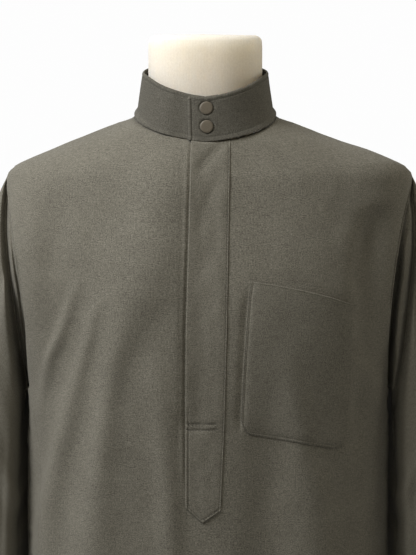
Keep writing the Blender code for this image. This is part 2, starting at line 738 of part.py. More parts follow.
def cut_patch(name, outline, points, normals, faces, top_z):
    """A patch on a panel: the panel's own faces inside an outline, moved out."""
    shape = bmesh.new()
    low_x = min(x for x, z in outline) - 0.03
    high_x = max(x for x, z in outline) + 0.03
    low_z = min(z for x, z in outline) - 0.04
    made = {}
    for face in faces:
        corners = [points[i] for i in face]
        middle = sum(corners, Vector((0, 0, 0))) / len(corners)
        if low_x < middle.x < high_x and low_z < middle.z < top_z + 0.03:
            spots = []
            for i in face:
                p = points[i]
                key = (round(p.x, 6), round(p.z, 6))
                if key not in made:
                    made[key] = shape.verts.new(p)
                spots.append(made[key])
            shape.faces.new(spots)
    middle_x = sum(x for x, z in outline) / len(outline)
    middle_z = sum(z for x, z in outline) / len(outline)
    for i, (x, z) in enumerate(outline):
        next_x, next_z = outline[(i + 1) % len(outline)]
        out = Vector((next_z - z, 0, x - next_x)).normalized()
        if out.x * (middle_x - x) + out.z * (middle_z - z) > 0:
            out = -out
        everything = shape.verts[:] + shape.edges[:] + shape.faces[:]
        bmesh.ops.bisect_plane(shape, geom=everything, dist=0.00002, plane_co=(x, 0, z),
                               plane_no=out, clear_outer=True)
    bmesh.ops.remove_doubles(shape, verts=shape.verts, dist=0.0002)
    bmesh.ops.triangulate(shape, faces=shape.faces)
    shape.verts.ensure_lookup_table()
    shape.verts.index_update()
    patch_points = [v.co.copy() for v in shape.verts]
    patch_faces = [tuple(v.index for v in face.verts) for face in shape.faces]
    shape.free()
    patch_normals = []
    for p in patch_points:
        patch_normals.append(body_normal(turn_of_x(p.x, p.z, False), p.z))
    return wall(name, patch_points, patch_normals, patch_faces, "cloth", PATCH_WALL,
                SEAM_GAP + PATCH_WALL)


def close_slit(points, faces):
    """The front's skin with the two sides of its slit brought together again."""
    joined = [p.copy() for p in points]
    by_place = {}
    for i, p in enumerate(points):
        by_place.setdefault(round(p.z, 6), []).append(i)
    for spots in by_place.values():
        for i in spots:
            for j in spots:
                if i < j and (points[i] - points[j]).length < 3 * SLIT_HALF:
                    middle = (points[i] + points[j]) / 2
                    joined[i] = middle
                    joined[j] = middle
    return joined, faces


def snap_cap(name, z):
    """A round domed cap on the collar's outer face."""
    share = (z - NECK_FRONT_Z - COLLAR_LIFT) / (COLLAR_TOP_Z(0.0) - NECK_FRONT_Z - COLLAR_LIFT)
    angle = math.degrees(math.asin((SNAP_X + 0.003) / 0.0735))
    middle = collar_row_point(angle, share)
    across = (collar_row_point(angle + 2, share) - collar_row_point(angle - 2, share)).normalized()
    up = (collar_row_point(angle, share + 0.05) - collar_row_point(angle, share - 0.05)).normalized()
    out = across.cross(up).normalized()
    if out.y > 0:
        out = -out
    profile = [(0.0, 0.0), (0.90, 0.0), (1.0, 0.2), (1.0, 0.62), (0.93, 0.86), (0.78, 1.0), (0.0, 0.93)]
    sides = 24
    points = []
    rings = []
    for radius, height in profile:
        rise = out * (SEAM_GAP + SNAP_HEIGHT * height)
        if radius == 0.0:
            rings.append([len(points)])
            points.append(middle + rise)
            continue
        rings.append(list(range(len(points), len(points) + sides)))
        for i in range(sides):
            turn = 2 * math.pi * i / sides
            flat = across * math.cos(turn) + up * math.sin(turn)
            points.append(middle + rise + flat * SNAP_RADIUS * radius)
    faces = []
    for low, high in zip(rings, rings[1:]):
        for i in range(sides):
            j = (i + 1) % sides
            if len(low) == 1:
                faces.append((low[0], high[j], high[i]))
            elif len(high) == 1:
                faces.append((low[i], low[j], high[0]))
            else:
                faces.append((low[i], low[j], high[j], high[i]))
    return add_object(name, points, faces, "metal")


def dress_form():
    """The torso and neck block as one closed smooth body."""
    points = []
    heights = [row[0] for row in FORM_RINGS]
    for z in heights:
        for i in range(FORM_SIDES):
            points.append(ring_point(FORM, 4 * i / FORM_SIDES, z))
    faces = []
    for r in range(len(heights) - 1):
        for i in range(FORM_SIDES):
            j = (i + 1) % FORM_SIDES
            a = r * FORM_SIDES
            faces.append((a + i, a + FORM_SIDES + i, a + FORM_SIDES + j, a + j))
    top = len(points)
    points.append(Vector((-0.003, 0.002, heights[0] + 0.0008)))
    low = len(points)
    points.append(Vector((0, 0.0, heights[-1] - 0.0005)))
    last = (len(heights) - 1) * FORM_SIDES
    for i in range(FORM_SIDES):
        j = (i + 1) % FORM_SIDES
        faces.append((top, i, j))
        faces.append((low, last + j, last + i))
    return add_object("form_torso", points, faces, "jersey")


def turned(name, profile, sides, colour):
    """A body of revolution round the Z axis from (radius, z) pairs, closed at both ends."""
    points = []
    for radius, z in profile:
        for i in range(sides):
            angle = 2 * math.pi * i / sides
            points.append(Vector((radius * math.cos(angle), radius * math.sin(angle), z)))
    faces = []
    for r in range(len(profile) - 1):
        for i in range(sides):
            j = (i + 1) % sides
            faces.append((r * sides + i, r * sides + j, (r + 1) * sides + j, (r + 1) * sides + i))
    faces.append(tuple(reversed(range(sides))))
    faces.append(tuple(range((len(profile) - 1) * sides, len(profile) * sides)))
    return add_object(name, points, faces, colour)


def build():
    """All pieces of the robe and its form."""
    for thing in list(bpy.data.objects):
        bpy.data.objects.remove(thing)
    points, normals, faces = front_panel()
    wall("robe_front", points, normals, faces, "cloth")
    whole, faces = close_slit(points, faces)
    cut_patch("placket", PLACKET_OUTLINE, whole, normals, faces, 1.4668)
    cut_patch("chest_pocket", POCKET_OUTLINE, whole, normals, faces, 1.3178)
    points, normals, faces = back_panel()
    wall("robe_back", points, normals, faces, "cloth")
    for side, word in ((1, "left"), (-1, "right")):
        points, normals, faces = gore_panel(side)
        wall("gore_" + word, points, normals, faces, "cloth")
        points, normals, faces = sleeve_skin(side)
        wall("sleeve_" + word, points, normals, faces, "cloth")
    points, normals, faces = collar_skin()
    wall("collar", points, normals, faces, "cloth", COLLAR_WALL)
    for name, z in SNAP_HEIGHTS.items():
        snap_cap(name, z)
    dress_form()
    pole_top = FORM_RINGS[-1][0] - 0.0005 - SEAM_GAP
    pole_low = BASE_HEIGHT + SEAM_GAP
    turned("form_pole", [(POLE_RADIUS, pole_low), (POLE_RADIUS, pole_top)], POLE_SIDES, "steel")
    rim = [(BASE_RADIUS - 0.001, 0.0), (BASE_RADIUS, 0.001), (BASE_RADIUS, 0.011)]
    rim += [(BASE_RADIUS - 0.002, 0.0145), (BASE_RADIUS - 0.006, BASE_HEIGHT)]
    turned("form_base", rim, BASE_SIDES, "steel")


build()
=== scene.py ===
"""Looks of the long robe on its limbless dress form: cloth, stitches, lights and camera.

Every piece of cloth is a thin shell on the form of its own solid. Turn 0 is the middle of
the front, 1 the wearer's left side, 2 the middle of the back and 3 the wearer's right side.
"""

import math

import bpy
import numpy as np
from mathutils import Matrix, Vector


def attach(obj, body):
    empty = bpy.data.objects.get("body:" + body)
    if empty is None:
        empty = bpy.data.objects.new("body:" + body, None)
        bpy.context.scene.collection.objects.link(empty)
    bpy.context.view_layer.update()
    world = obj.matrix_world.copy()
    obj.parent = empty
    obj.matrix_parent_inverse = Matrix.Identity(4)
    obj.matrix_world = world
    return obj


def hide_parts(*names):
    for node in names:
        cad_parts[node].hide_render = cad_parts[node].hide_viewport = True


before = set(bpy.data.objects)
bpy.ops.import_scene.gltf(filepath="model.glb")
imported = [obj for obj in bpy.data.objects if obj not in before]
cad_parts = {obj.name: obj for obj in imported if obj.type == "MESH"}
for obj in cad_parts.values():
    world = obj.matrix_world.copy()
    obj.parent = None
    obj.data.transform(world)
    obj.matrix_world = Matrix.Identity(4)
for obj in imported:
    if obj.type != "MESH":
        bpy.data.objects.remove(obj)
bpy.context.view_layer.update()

# Sizes in metres, in tables with named columns or a note of what stands where
CLOTH = 0.0011
SEAM_GAP = 0.0003
NECK_FRONT_Z, NECK_SIDE_Z, NECK_BACK_Z = 1.4675, 1.4967, 1.5115
TIP_Z, UNDERARM_Z, HEM_Z = 1.4385, 1.195, 0.065
NECK_HALF_WIDTH = 0.0765
NECK_SHIFT = -0.003

BODY_COLUMNS = ("z", "half_width", "front", "back", "square", "shift")
BODY_RINGS = [
    (1.53, 0.072, 0.04, 0.068, 1.8, -0.003),
    (1.5115, 0.0745, 0.042, 0.07, 1.8, -0.003),
    (1.503, 0.0762, 0.046, 0.073, 1.8, -0.003),
    (1.4967, 0.0765, 0.05, 0.076, 1.8, -0.003),
    (1.4854, 0.104, 0.064, 0.081, 1.85, -0.0026),
    (1.4775, 0.1232, 0.071, 0.084, 1.9, -0.002),
    (1.4675, 0.1485, 0.0765, 0.087, 2.0, -0.002),
    (1.455, 0.1804, 0.0812, 0.09, 2.1, -0.001),
    (1.445, 0.2034, 0.0848, 0.0925, 2.2, 0.0008),
    (1.4385, 0.2172, 0.087, 0.094, 2.25, 0.002),
    (1.428, 0.2275, 0.0905, 0.0965, 2.3, 0.0014),
    (1.41, 0.2308, 0.0955, 0.101, 2.3, 0.0002),
    (1.38, 0.2315, 0.103, 0.108, 2.3, 0.0),
    (1.35, 0.23, 0.1115, 0.114, 2.3, 0.0),
    (1.3, 0.2235, 0.122, 0.119, 2.3, 0.0),
    (1.25, 0.215, 0.127, 0.12, 2.3, 0.0),
    (1.195, 0.2055, 0.1292, 0.118, 2.3, 0.0),
    (1.15, 0.2028, 0.1298, 0.1155, 2.3, 0.0),
    (1.0, 0.202, 0.132, 0.113, 2.3, 0.0),
    (0.8, 0.207, 0.138, 0.12, 2.25, 0.0),
    (0.5, 0.223, 0.149, 0.136, 2.2, 0.0),
    (0.065, 0.248, 0.166, 0.156, 2.2, 0.0),
]

EDGE_COLUMNS = ("z", "front_y", "back_y")
SIDE_EDGES = [
    (1.4385, 0.001, 0.001),
    (1.431, -0.017, 0.017),
    (1.42, -0.027, 0.026),
    (1.405, -0.0345, 0.0335),
    (1.385, -0.0425, 0.0405),
    (1.355, -0.0516, 0.048),
    (1.33, -0.0565, 0.052),
    (1.29, -0.0588, 0.054),
    (1.265, -0.0575, 0.053),
    (1.24, -0.053, 0.0495),
    (1.215, -0.0455, 0.043),
    (1.195, -0.041, 0.039),
    (1.178, -0.05, 0.046),
    (1.11, -0.066, 0.059),
    (1.04, -0.0725, 0.065),
    (1.0, -0.0742, 0.067),
    (0.5, -0.093, 0.087),
    (0.065, -0.112, 0.108),
]

# folds of the front: half width, depth at the top and the bottom, and the run of the crease
FRONT_FOLDS = [
    (0.008, -0.0022, -0.0014, [(0.164, 1.35), (0.165, 1.3)]),
    (0.0075, -0.003, -0.002, [(0.162, 1.212), (0.165, 1.17), (0.165, 1.11)]),
    (0.008, 0.0022, 0.0016, [(0.16, 1.236), (0.184, 1.204), (0.19, 1.16)]),
    (0.014, 0.002, 0.0016, [(-0.15, 1.4), (-0.142, 1.36), (-0.14, 1.32)]),
    (0.012, -0.0018, -0.0012, [(-0.18, 1.38), (-0.172, 1.34), (-0.17, 1.31)]),
]
# crests and hollows of the front, as stations down each one: z, x, half width and height
FRONT_CRESTS = [
    [(1.468, -0.04, 0.038, 0.0004), (1.44, -0.043, 0.038, 0.006), (1.409, -0.047, 0.04, 0.0088),
     (1.354, -0.061, 0.043, 0.0092), (1.304, -0.079, 0.036, 0.0076), (1.266, -0.095, 0.026, 0.0066),
     (1.238, -0.101, 0.0165, 0.0062), (1.188, -0.1075, 0.013, 0.006), (1.128, -0.114, 0.015, 0.0074),
     (1.068, -0.1185, 0.019, 0.0088), (1.017, -0.123, 0.0225, 0.0096), (0.85, -0.128, 0.032, 0.0084),
     (0.6, -0.13, 0.036, 0.0)],
    [(1.32, -0.085, 0.05, 0.0), (1.24, -0.1, 0.055, 0.0034), (1.15, -0.108, 0.058, 0.0072),
     (1.02, -0.115, 0.06, 0.0084), (0.85, -0.115, 0.06, 0.004), (0.65, -0.115, 0.06, 0.0)],
    [(1.33, -0.138, 0.007, 0.0), (1.28, -0.153, 0.007, 0.0034), (1.251, -0.163, 0.007, 0.0042),
     (1.2325, -0.171, 0.007, 0.0042), (1.207, -0.1765, 0.007, 0.0034), (1.185, -0.181, 0.007, 0.002),
     (1.155, -0.185, 0.007, 0.0)],
    [(1.304, -0.118, 0.007, 0.0), (1.28, -0.123, 0.007, 0.0028), (1.251, -0.13, 0.0076, 0.004),
     (1.229, -0.136, 0.0086, 0.005), (1.196, -0.144, 0.0102, 0.006), (1.166, -0.15, 0.0112, 0.0068),
     (1.131, -0.159, 0.0114, 0.0078), (1.1, -0.165, 0.0118, 0.0084), (1.05, -0.174, 0.013, 0.009),
     (0.95, -0.179, 0.016, 0.006), (0.75, -0.18, 0.02, 0.0)],
    [(1.26, -0.0545, 0.013, 0.0), (1.205, -0.053, 0.0135, 0.0024), (1.15, -0.048, 0.0135, 0.0038),
     (1.0945, -0.0436, 0.0135, 0.0048), (1.0395, -0.041, 0.014, 0.0052), (0.9, -0.04, 0.018, 0.005),
     (0.7, -0.04, 0.022, 0.0)],
    [(1.245, 0.061, 0.023, 0.0), (1.188, 0.063, 0.024, -0.002), (1.133, 0.065, 0.026, -0.0052),
     (1.078, 0.066, 0.027, -0.0068), (1.02, 0.066, 0.028, -0.0072), (0.85, 0.07, 0.03, -0.0062),
     (0.65, 0.072, 0.03, 0.0)],
    [(1.25, 0.084, 0.014, 0.0), (1.216, 0.0894, 0.015, 0.0018), (1.188, 0.0948, 0.016, 0.0032),
     (1.133, 0.1035, 0.017, 0.0036), (1.078, 0.1166, 0.019, 0.0034), (1.023, 0.121, 0.021, 0.0036),
     (0.88, 0.126, 0.024, 0.0034), (0.65, 0.13, 0.028, 0.0)],
    [(1.48, 0.184, 0.034, 0.003), (1.44, 0.196, 0.034, 0.0048), (1.41, 0.202, 0.032, 0.003),
     (1.38, 0.202, 0.03, 0.0)],
    [(1.4, 0.186, 0.014, 0.0), (1.38, 0.182, 0.015, -0.006), (1.358, 0.179, 0.0165, -0.01),
     (1.32, 0.178, 0.018, -0.0092), (1.28, 0.1765, 0.018, -0.0074), (1.24, 0.175, 0.018, -0.0046),
     (1.2, 0.175, 0.018, 0.0)],
]
# crests beside the armholes and down the sides, which come straight forward
FORWARD_CRESTS = [
    [(1.428, -0.208, 0.034, 0.0), (1.395, -0.208, 0.034, 0.009), (1.34, -0.207, 0.034, 0.018),
     (1.29, -0.205, 0.033, 0.0175), (1.25, -0.201, 0.028, 0.013), (1.2, -0.197, 0.02, 0.008),
     (1.15, -0.197, 0.018, 0.004), (1.1, -0.198, 0.018, 0.0)],
    [(1.17, -0.188, 0.01, 0.0), (1.11, -0.188, 0.0105, -0.006), (1.05, -0.188, 0.011, -0.009),
     (0.95, -0.19, 0.013, -0.008), (0.75, -0.195, 0.015, 0.0)],
    [(1.24, 0.196, 0.016, 0.0), (1.18, 0.196, 0.016, 0.006), (1.1, 0.196, 0.016, 0.0064),
     (1.0, 0.197, 0.016, 0.006), (0.85, 0.2, 0.02, 0.003), (0.7, 0.21, 0.02, 0.0)],
]
# soft slanting creases near the placket's top
PLACKET_CRESTS = [
    [(1.476, 0.025, 0.008, 0.0), (1.464, 0.014, 0.0085, -0.0016), (1.446, -0.001, 0.0085, -0.002),
     (1.426, -0.013, 0.008, 0.0)],
    [(1.43, 0.012, 0.006, 0.0), (1.41, 0.003, 0.007, -0.0008), (1.385, -0.006, 0.007, -0.0006),
     (1.36, -0.01, 0.007, 0.0)],
]
# how deep the front's cloth dips beside the placket's open edge
PLACKET_DIP = [(1.4668, 0.0008), (1.36, 0.0012), (1.3, 0.003), (1.25, 0.0042), (1.175, 0.004),
               (1.145, 0.0014), (1.0728, 0.001), (1.065, 0.0)]
BACK_FOLDS = [
    (0.015, -0.004, -0.005, [(0.148, 1.34), (0.154, 1.23), (0.16, 1.1), (0.164, 0.98)]),
    (0.015, 0.004, 0.005, [(0.096, 1.31), (0.103, 1.2), (0.11, 1.08), (0.114, 0.96)]),
    (0.015, -0.004, -0.0055, [(0.037, 1.28), (0.04, 1.18), (0.045, 1.06), (0.048, 0.93)]),
    (0.015, 0.004, 0.0045, [(-0.03, 1.33), (-0.028, 1.2), (-0.024, 1.08), (-0.024, 0.96)]),
    (0.015, -0.0045, -0.0055, [(-0.084, 1.3), (-0.088, 1.18), (-0.093, 1.06), (-0.096, 0.94)]),
    (0.014, 0.004, 0.0045, [(-0.144, 1.32), (-0.15, 1.2), (-0.156, 1.08), (-0.159, 0.98)]),
    (0.01, -0.003, -0.002, [(0.17, 1.4), (0.15, 1.35), (0.13, 1.3)]),
    (0.01, -0.0028, -0.002, [(-0.172, 1.395), (-0.156, 1.35), (-0.14, 1.31)]),
]

# loose waves of the skirt: turn of the crest, half width in turns and height at the hem
SKIRT_WAVES = [
    (0.20, 0.12, 0.013), (0.52, 0.11, -0.011), (0.80, 0.12, 0.011), (1.18, 0.13, -0.010),
    (1.50, 0.12, 0.013), (1.86, 0.13, -0.010), (2.24, 0.12, 0.012), (2.60, 0.12, -0.010),
    (2.92, 0.12, 0.010), (3.24, 0.11, -0.010), (3.50, 0.11, 0.012), (3.80, 0.11, -0.011),
]
WAVE_TOP_Z = 1.10
# how far the sides are drawn in just under the arms
UNDERARM_DRAW = 0.0040
# length of a panel from its middle to its edge, and of one turn round the body, for spacing and weave
PANEL_HALF, TURN_LENGTH = 0.26, 0.27
ARMHOLE_STITCH_INSET = 0.0039
# setback of a panel's edge from its seam, as a share of the seam gap
SEAM_SETBACK = -0.15
# finer stretches across the front: from, to and step, as shares of the panel's half
FINE_LINES = [(-0.101, -0.029, 0.003), (-0.026, 0.02, 0.005), (0.068, 0.146, 0.0038)]
# columns of the front closer than this to the one before are left out
CLOSEST_LINES = 0.0011

PLACKET_LEFT = [(1.4668, -0.0185), (1.2659, -0.0238), (1.1574, -0.0243), (1.0728, -0.0244)]
PLACKET_RIGHT = [(1.4668, 0.0246), (1.2659, 0.021), (1.1574, 0.0181), (1.0692, 0.0139)]
PLACKET_END = [(0.0, 1.0728), (0.478, 1.0563), (1.0, 1.0692)]
TACK_TOP_Z, TACK_LOW_Z, TACK_LEFT_X, TACK_RIGHT_X = 1.1650, 1.1577, -0.0222, 0.0096

POCKET_LEFT = [(1.3178, 0.0465), (1.2972, 0.0435), (1.2349, 0.039), (1.1766, 0.036), (1.13, 0.0345)]
POCKET_RIGHT = [(1.3178, 0.161), (1.2905, 0.16), (1.219, 0.1567), (1.15, 0.1507), (1.13, 0.149)]
POCKET_TOP = [(0.0465, 1.3178), (0.072, 1.314), (0.1044, 1.3074), (0.133, 1.2998), (0.16, 1.2905)]
POCKET_END = [(0.0345, 1.18), (0.036, 1.168), (0.039, 1.158), (0.0445, 1.152), (0.0924, 1.1436),
              (0.137, 1.134), (0.143, 1.135), (0.148, 1.14), (0.1512, 1.152)]

POCKET_WIDTH, POCKET_HEIGHT = 0.114, 0.160
COLLAR_WALL = 0.0018
# height of the collar, its length for each degree and the radius that its snaps sit on
COLLAR_HEIGHT, COLLAR_PACE, COLLAR_RADIUS = 0.047, 0.00128, 0.0735
COLLAR_LIFT = 0.0004
COLLAR_TOP_HALF_WIDTH, COLLAR_TOP_FRONT, COLLAR_TOP_BACK = 0.0705, 0.0705, 0.0665
COLLAR_START, COLLAR_END = -13.5, 371.0
COLLAR_TOP = [(0.0, 1.5155), (15.0, 1.5185), (40.0, 1.5272), (70.0, 1.5385), (90.0, 1.542),
              (135.0, 1.548), (180.0, 1.551)]
SNAP_RADIUS, SNAP_HEIGHT, SNAP_X = 0.0073, 0.0022, -0.0021
SNAP_HEIGHTS = {"snap_upper": 1.5043, "snap_lower": 1.4841}

SLEEVE_COLUMNS = ("along", "over_x", "over_z", "under_x", "under_z", "fore_x", "fore_y", "fore_z",
                  "hind_x", "hind_y", "hind_z")
SLEEVE_GUIDES = [
    (0.0, 0.22, 1.4385, 0.205, 1.195, 0.2045, -0.0585, 1.31, 0.2045, 0.054, 1.31),
    (0.03, 0.2276, 1.4225, 0.209, 1.1935, 0.2095, -0.059, 1.303, 0.208, 0.055, 1.303),
    (0.07, 0.236, 1.4, 0.21, 1.187, 0.2145, -0.059, 1.291, 0.21, 0.056, 1.291),
    (0.12, 0.246, 1.372, 0.2092, 1.177, 0.218, -0.06, 1.274, 0.21, 0.058, 1.274),
    (0.18, 0.256, 1.338, 0.2082, 1.161, 0.222, -0.062, 1.251, 0.209, 0.062, 1.251),
    (0.26, 0.265, 1.29, 0.2076, 1.138, 0.226, -0.066, 1.218, 0.208, 0.068, 1.218),
    (0.36, 0.273, 1.231, 0.2075, 1.107, 0.23, -0.07, 1.173, 0.2076, 0.074, 1.173),
    (0.48, 0.279, 1.16, 0.2075, 1.069, 0.233, -0.0725, 1.116, 0.2076, 0.078, 1.116),
    (0.6, 0.2825, 1.088, 0.208, 1.026, 0.2355, -0.073, 1.058, 0.2082, 0.0795, 1.058),
    (0.74, 0.285, 1.004, 0.2105, 0.97, 0.238, -0.072, 0.986, 0.2108, 0.0785, 0.986),
    (0.88, 0.2875, 0.92, 0.2135, 0.91, 0.2415, -0.07, 0.914, 0.2142, 0.0765, 0.914),
    (1.0, 0.289, 0.848, 0.2165, 0.854, 0.2445, -0.068, 0.85, 0.218, 0.0745, 0.85),
]
SLEEVE_SQUARE, SLEEVE_PACE, SLEEVE_ROWS = 0.84, 1.6, 190
# steps round a sleeve in degrees: from, to and step
SLEEVE_STEPS = [(0, 24, 3), (24, 60, 1.8), (60, 178, 0.92), (178, 357, 4.2)]
# pleats down the front of a hanging sleeve: half width and depth at the top and the bottom, and the run
SLEEVE_PLEATS = {
    1: [
        (0.0026, 0.004, 0.002, 0.006,
         [(0.22, 1.404), (0.2184, 1.37), (0.2151, 1.354), (0.2123, 1.337), (0.2096, 1.321),
          (0.2079, 1.304), (0.2049, 1.282), (0.2027, 1.26), (0.201, 1.235), (0.199, 1.19)]),
        (0.0024, 0.0048, 0.014, 0.02,
         [(0.2255, 1.426), (0.2262, 1.404), (0.2286, 1.381), (0.2288, 1.359), (0.2277, 1.337),
          (0.2239, 1.304), (0.222, 1.282), (0.22, 1.26), (0.2165, 1.227), (0.2107, 1.183),
          (0.204, 1.128)]),
    ],
    -1: [
        (0.0028, 0.005, 0.02, 0.022,
         [(0.2222, 1.424), (0.2237, 1.404), (0.2243, 1.376), (0.2228, 1.348), (0.2198, 1.315),
          (0.2162, 1.282), (0.2129, 1.249), (0.2085, 1.216), (0.2035, 1.183)]),
        (0.0013, 0.0016, 0.002, 0.006,
         [(0.218, 1.38), (0.2152, 1.352), (0.212, 1.326), (0.2085, 1.304), (0.2064, 1.282),
          (0.2048, 1.26), (0.203, 1.225)]),
        (0.005, 0.006, 0.0, 0.009,
         [(0.2165, 1.345), (0.212, 1.3), (0.2085, 1.26), (0.206, 1.215)]),
    ],
}

# the inner strip of a sleeve's front, which lies back: z, where it ends and how far back it lies
SLEEVE_INNER = {
    1: [(1.38, 0.223, 0.0), (1.3428, 0.2168, 0.01), (1.326, 0.2162, 0.016), (1.304, 0.2135, 0.02),
         (1.282, 0.2107, 0.022), (1.26, 0.2085, 0.022), (1.2435, 0.207, 0.022), (1.2, 0.205, 0.018),
         (1.12, 0.2045, 0.01), (0.86, 0.21, 0.006)],
    -1: [(1.41, 0.225, 0.0), (1.36, 0.225, 0.006), (1.31, 0.2228, 0.012), (1.271, 0.219, 0.016),
          (1.249, 0.2168, 0.018), (1.238, 0.2146, 0.02), (1.205, 0.2112, 0.02), (1.183, 0.2075, 0.018),
          (1.13, 0.205, 0.01), (0.86, 0.21, 0.006)],
}
SLEEVE_SOFTNESS = {1: (0.004, 0.005), -1: (0.008, 0.010)}
# how far back the whole front of a sleeve lies: z and depth
SLEEVE_BACK = [(1.4, 0.0), (1.33, 0.004), (1.26, 0.012), (1.18, 0.015), (0.85, 0.012)]

FORM_COLUMNS = ("z", "half_width", "front", "back", "square", "shift")
FORM_RINGS = [
    (1.584, 0.056, 0.049, 0.053, 2.3, -0.003),
    (1.582, 0.06, 0.053, 0.057, 2.3, -0.003),
    (1.578, 0.0628, 0.0558, 0.0598, 2.3, -0.003),
    (1.57, 0.0634, 0.0565, 0.0605, 2.3, -0.003),
    (1.545, 0.0634, 0.0565, 0.0605, 2.3, -0.003),
    (1.52, 0.0634, 0.0565, 0.0605, 2.3, -0.003),
    (1.506, 0.0642, 0.056, 0.0615, 2.2, -0.003),
    (1.498, 0.066, 0.053, 0.064, 2.0, -0.003),
    (1.4916, 0.079, 0.052, 0.07, 1.85, -0.0028),
    (1.4816, 0.104, 0.0605, 0.076, 1.85, -0.0024),
    (1.4696, 0.1335, 0.069, 0.081, 1.95, -0.001),
    (1.4576, 0.1625, 0.0745, 0.0845, 2.05, 0.0),
    (1.4466, 0.1845, 0.0785, 0.0875, 2.2, 0.0),
    (1.432, 0.1985, 0.0825, 0.0905, 2.25, 0.0),
    (1.415, 0.2, 0.087, 0.094, 2.3, 0.0),
    (1.39, 0.195, 0.094, 0.0995, 2.3, 0.0),
    (1.355, 0.185, 0.1025, 0.106, 2.3, 0.0),
    (1.31, 0.174, 0.11, 0.11, 2.3, 0.0),
    (1.25, 0.164, 0.114, 0.109, 2.25, 0.0),
    (1.18, 0.154, 0.111, 0.103, 2.2, 0.0),
    (1.1, 0.144, 0.104, 0.095, 2.2, 0.0),
    (1.02, 0.145, 0.103, 0.095, 2.2, 0.0),
    (0.93, 0.157, 0.108, 0.102, 2.2, 0.0),
    (0.85, 0.163, 0.111, 0.106, 2.25, 0.0),
    (0.8, 0.161, 0.109, 0.104, 2.25, 0.0),
    (0.786, 0.157, 0.105, 0.1, 2.25, 0.0),
    (0.78, 0.148, 0.096, 0.091, 2.25, 0.0),
]
# heights of the form's rings: from, to and how many
FORM_STRETCHES = [(1.584, 1.575, 16), (1.572, 1.44, 60), (1.435, 0.80, 90), (0.796, 0.78, 12)]
POLE_RADIUS, POLE_TOP_Z, BASE_RADIUS, BASE_HEIGHT = 0.016, 0.7790, 0.170, 0.016
SIDES = ((1, "left"), (-1, "right"))

CAMERA_PLACE, CAMERA_AIM = (0.0, -3.600, 1.575), (0.0, -0.060, 1.318)
MM_PER_PIXEL, IMAGE_HEIGHT = 1.1, 555


# Curves and the surfaces of the cloth
def curve(xs, ys):
    """A smooth curve through the points without overshoot, level beyond both ends."""
    order = np.argsort(xs)
    xs, ys = np.asarray(xs, float)[order], np.asarray(ys, float)[order]
    steps = np.diff(ys) / np.diff(xs)
    tilt = np.zeros(len(xs))
    tilt[0], tilt[-1] = steps[0], steps[-1]
    for i in range(1, len(xs) - 1):
        if steps[i - 1] * steps[i] > 0:
            tilt[i] = 2 * steps[i - 1] * steps[i] / (steps[i - 1] + steps[i])

    def value(x):
        x = np.clip(np.asarray(x, float), xs[0], xs[-1])
        i = np.clip(np.searchsorted(xs, x) - 1, 0, len(xs) - 2)
        h = xs[i + 1] - xs[i]
        t = (x - xs[i]) / h
        rise = (1 + 2 * t) * (1 - t) ** 2 * ys[i] + t * t * (3 - 2 * t) * ys[i + 1]
        return rise + h * (t * (1 - t) ** 2 * tilt[i] - t * t * (1 - t) * tilt[i + 1])

    return value


def curves(table, columns):
    """One smooth curve for each named column after the first."""
    return {n: curve([r[0] for r in table], [r[i + 1] for r in table]) for i, n in enumerate(columns[1:])}


BODY = curves(BODY_RINGS, BODY_COLUMNS)
EDGE = curves(SIDE_EDGES, EDGE_COLUMNS)
FORM = curves(FORM_RINGS, FORM_COLUMNS)
SLEEVE = curves(SLEEVE_GUIDES, SLEEVE_COLUMNS)
COLLAR_TOP_Z = curve([a for a, z in COLLAR_TOP], [z for a, z in COLLAR_TOP])


def power(value, exponent):
    return np.sign(value) * np.abs(value) ** exponent


def ease(value):
    t = np.clip(value, 0.0, 1.0)
    return t * t * (3 - 2 * t)


def bell(away, width):
    """A soft bump, 1 in its middle and nearly 0 two widths away."""
    return np.exp(-(away / width) ** 2)


def unit(vectors):
    return vectors / np.maximum(np.linalg.norm(vectors, axis=-1, keepdims=True), 1e-12)


def ring_point(rings, turn, z):
    """Points on the rings of a body: turn 0 front, 1 wearer's left, 2 back, 3 wearer's right."""
    turn, z = np.broadcast_arrays(np.asarray(turn, float), np.asarray(z, float))
    angle = math.pi / 2 * turn
    bend = 2 / rings["square"](z)
    cos = np.cos(angle)
    depth = np.where(cos >= 0, rings["front"](z), rings["back"](z))
    x = rings["shift"](z) + rings["half_width"](z) * power(np.sin(angle), bend)
    return np.stack([x, -depth * power(cos, bend), z], axis=-1)


def ring_normal(rings, turn, z):
    around = ring_point(rings, turn + 0.012, z) - ring_point(rings, turn - 0.012, z)
    up = ring_point(rings, turn, z + 0.003) - ring_point(rings, turn, z - 0.003)
    return unit(np.cross(around, up))


def fold_height(folds, x, z):
    """How far the folds of one side push the cloth out; each fades in and out along its run."""
    total = np.zeros(np.shape(x))
    for half_width, top_depth, low_depth, run in folds:
        places, heights = np.array(run).T
        path, high, low = curve(heights, places), heights[0], heights[-1]
        marks = np.linspace(low, high, 40)
        slope = np.interp(z, marks, np.gradient(path(marks), marks))
        away = (x - path(z)) / np.sqrt(1 + slope ** 2)
        depth = top_depth + (low_depth - top_depth) * np.clip((high - z) / (high - low), 0, 1)
        fade_in = ease((high - z) / min(0.06, 0.45 * (high - low)) + 0.15)
        fade_out = 1 if low < 1.03 else ease((z - low) / (0.4 * (high - low)) + 0.1)
        wide = half_width * (1 + 1.2 * np.clip((low - z) / 0.9, 0, 1))
        total = total + depth * fade_in * fade_out * bell(away, wide)
    return total


def crest_height(crests, x, z):
    """How far crests and hollows that are listed by stations push the cloth out."""
    total = np.zeros(np.shape(x))
    for stations in crests:
        heights = [row[0] for row in stations]
        place, wide, rise = [curve(heights, [row[i] for row in stations])(z) for i in (1, 2, 3)]
        total = total + rise * bell(x - place, wide)
    return total


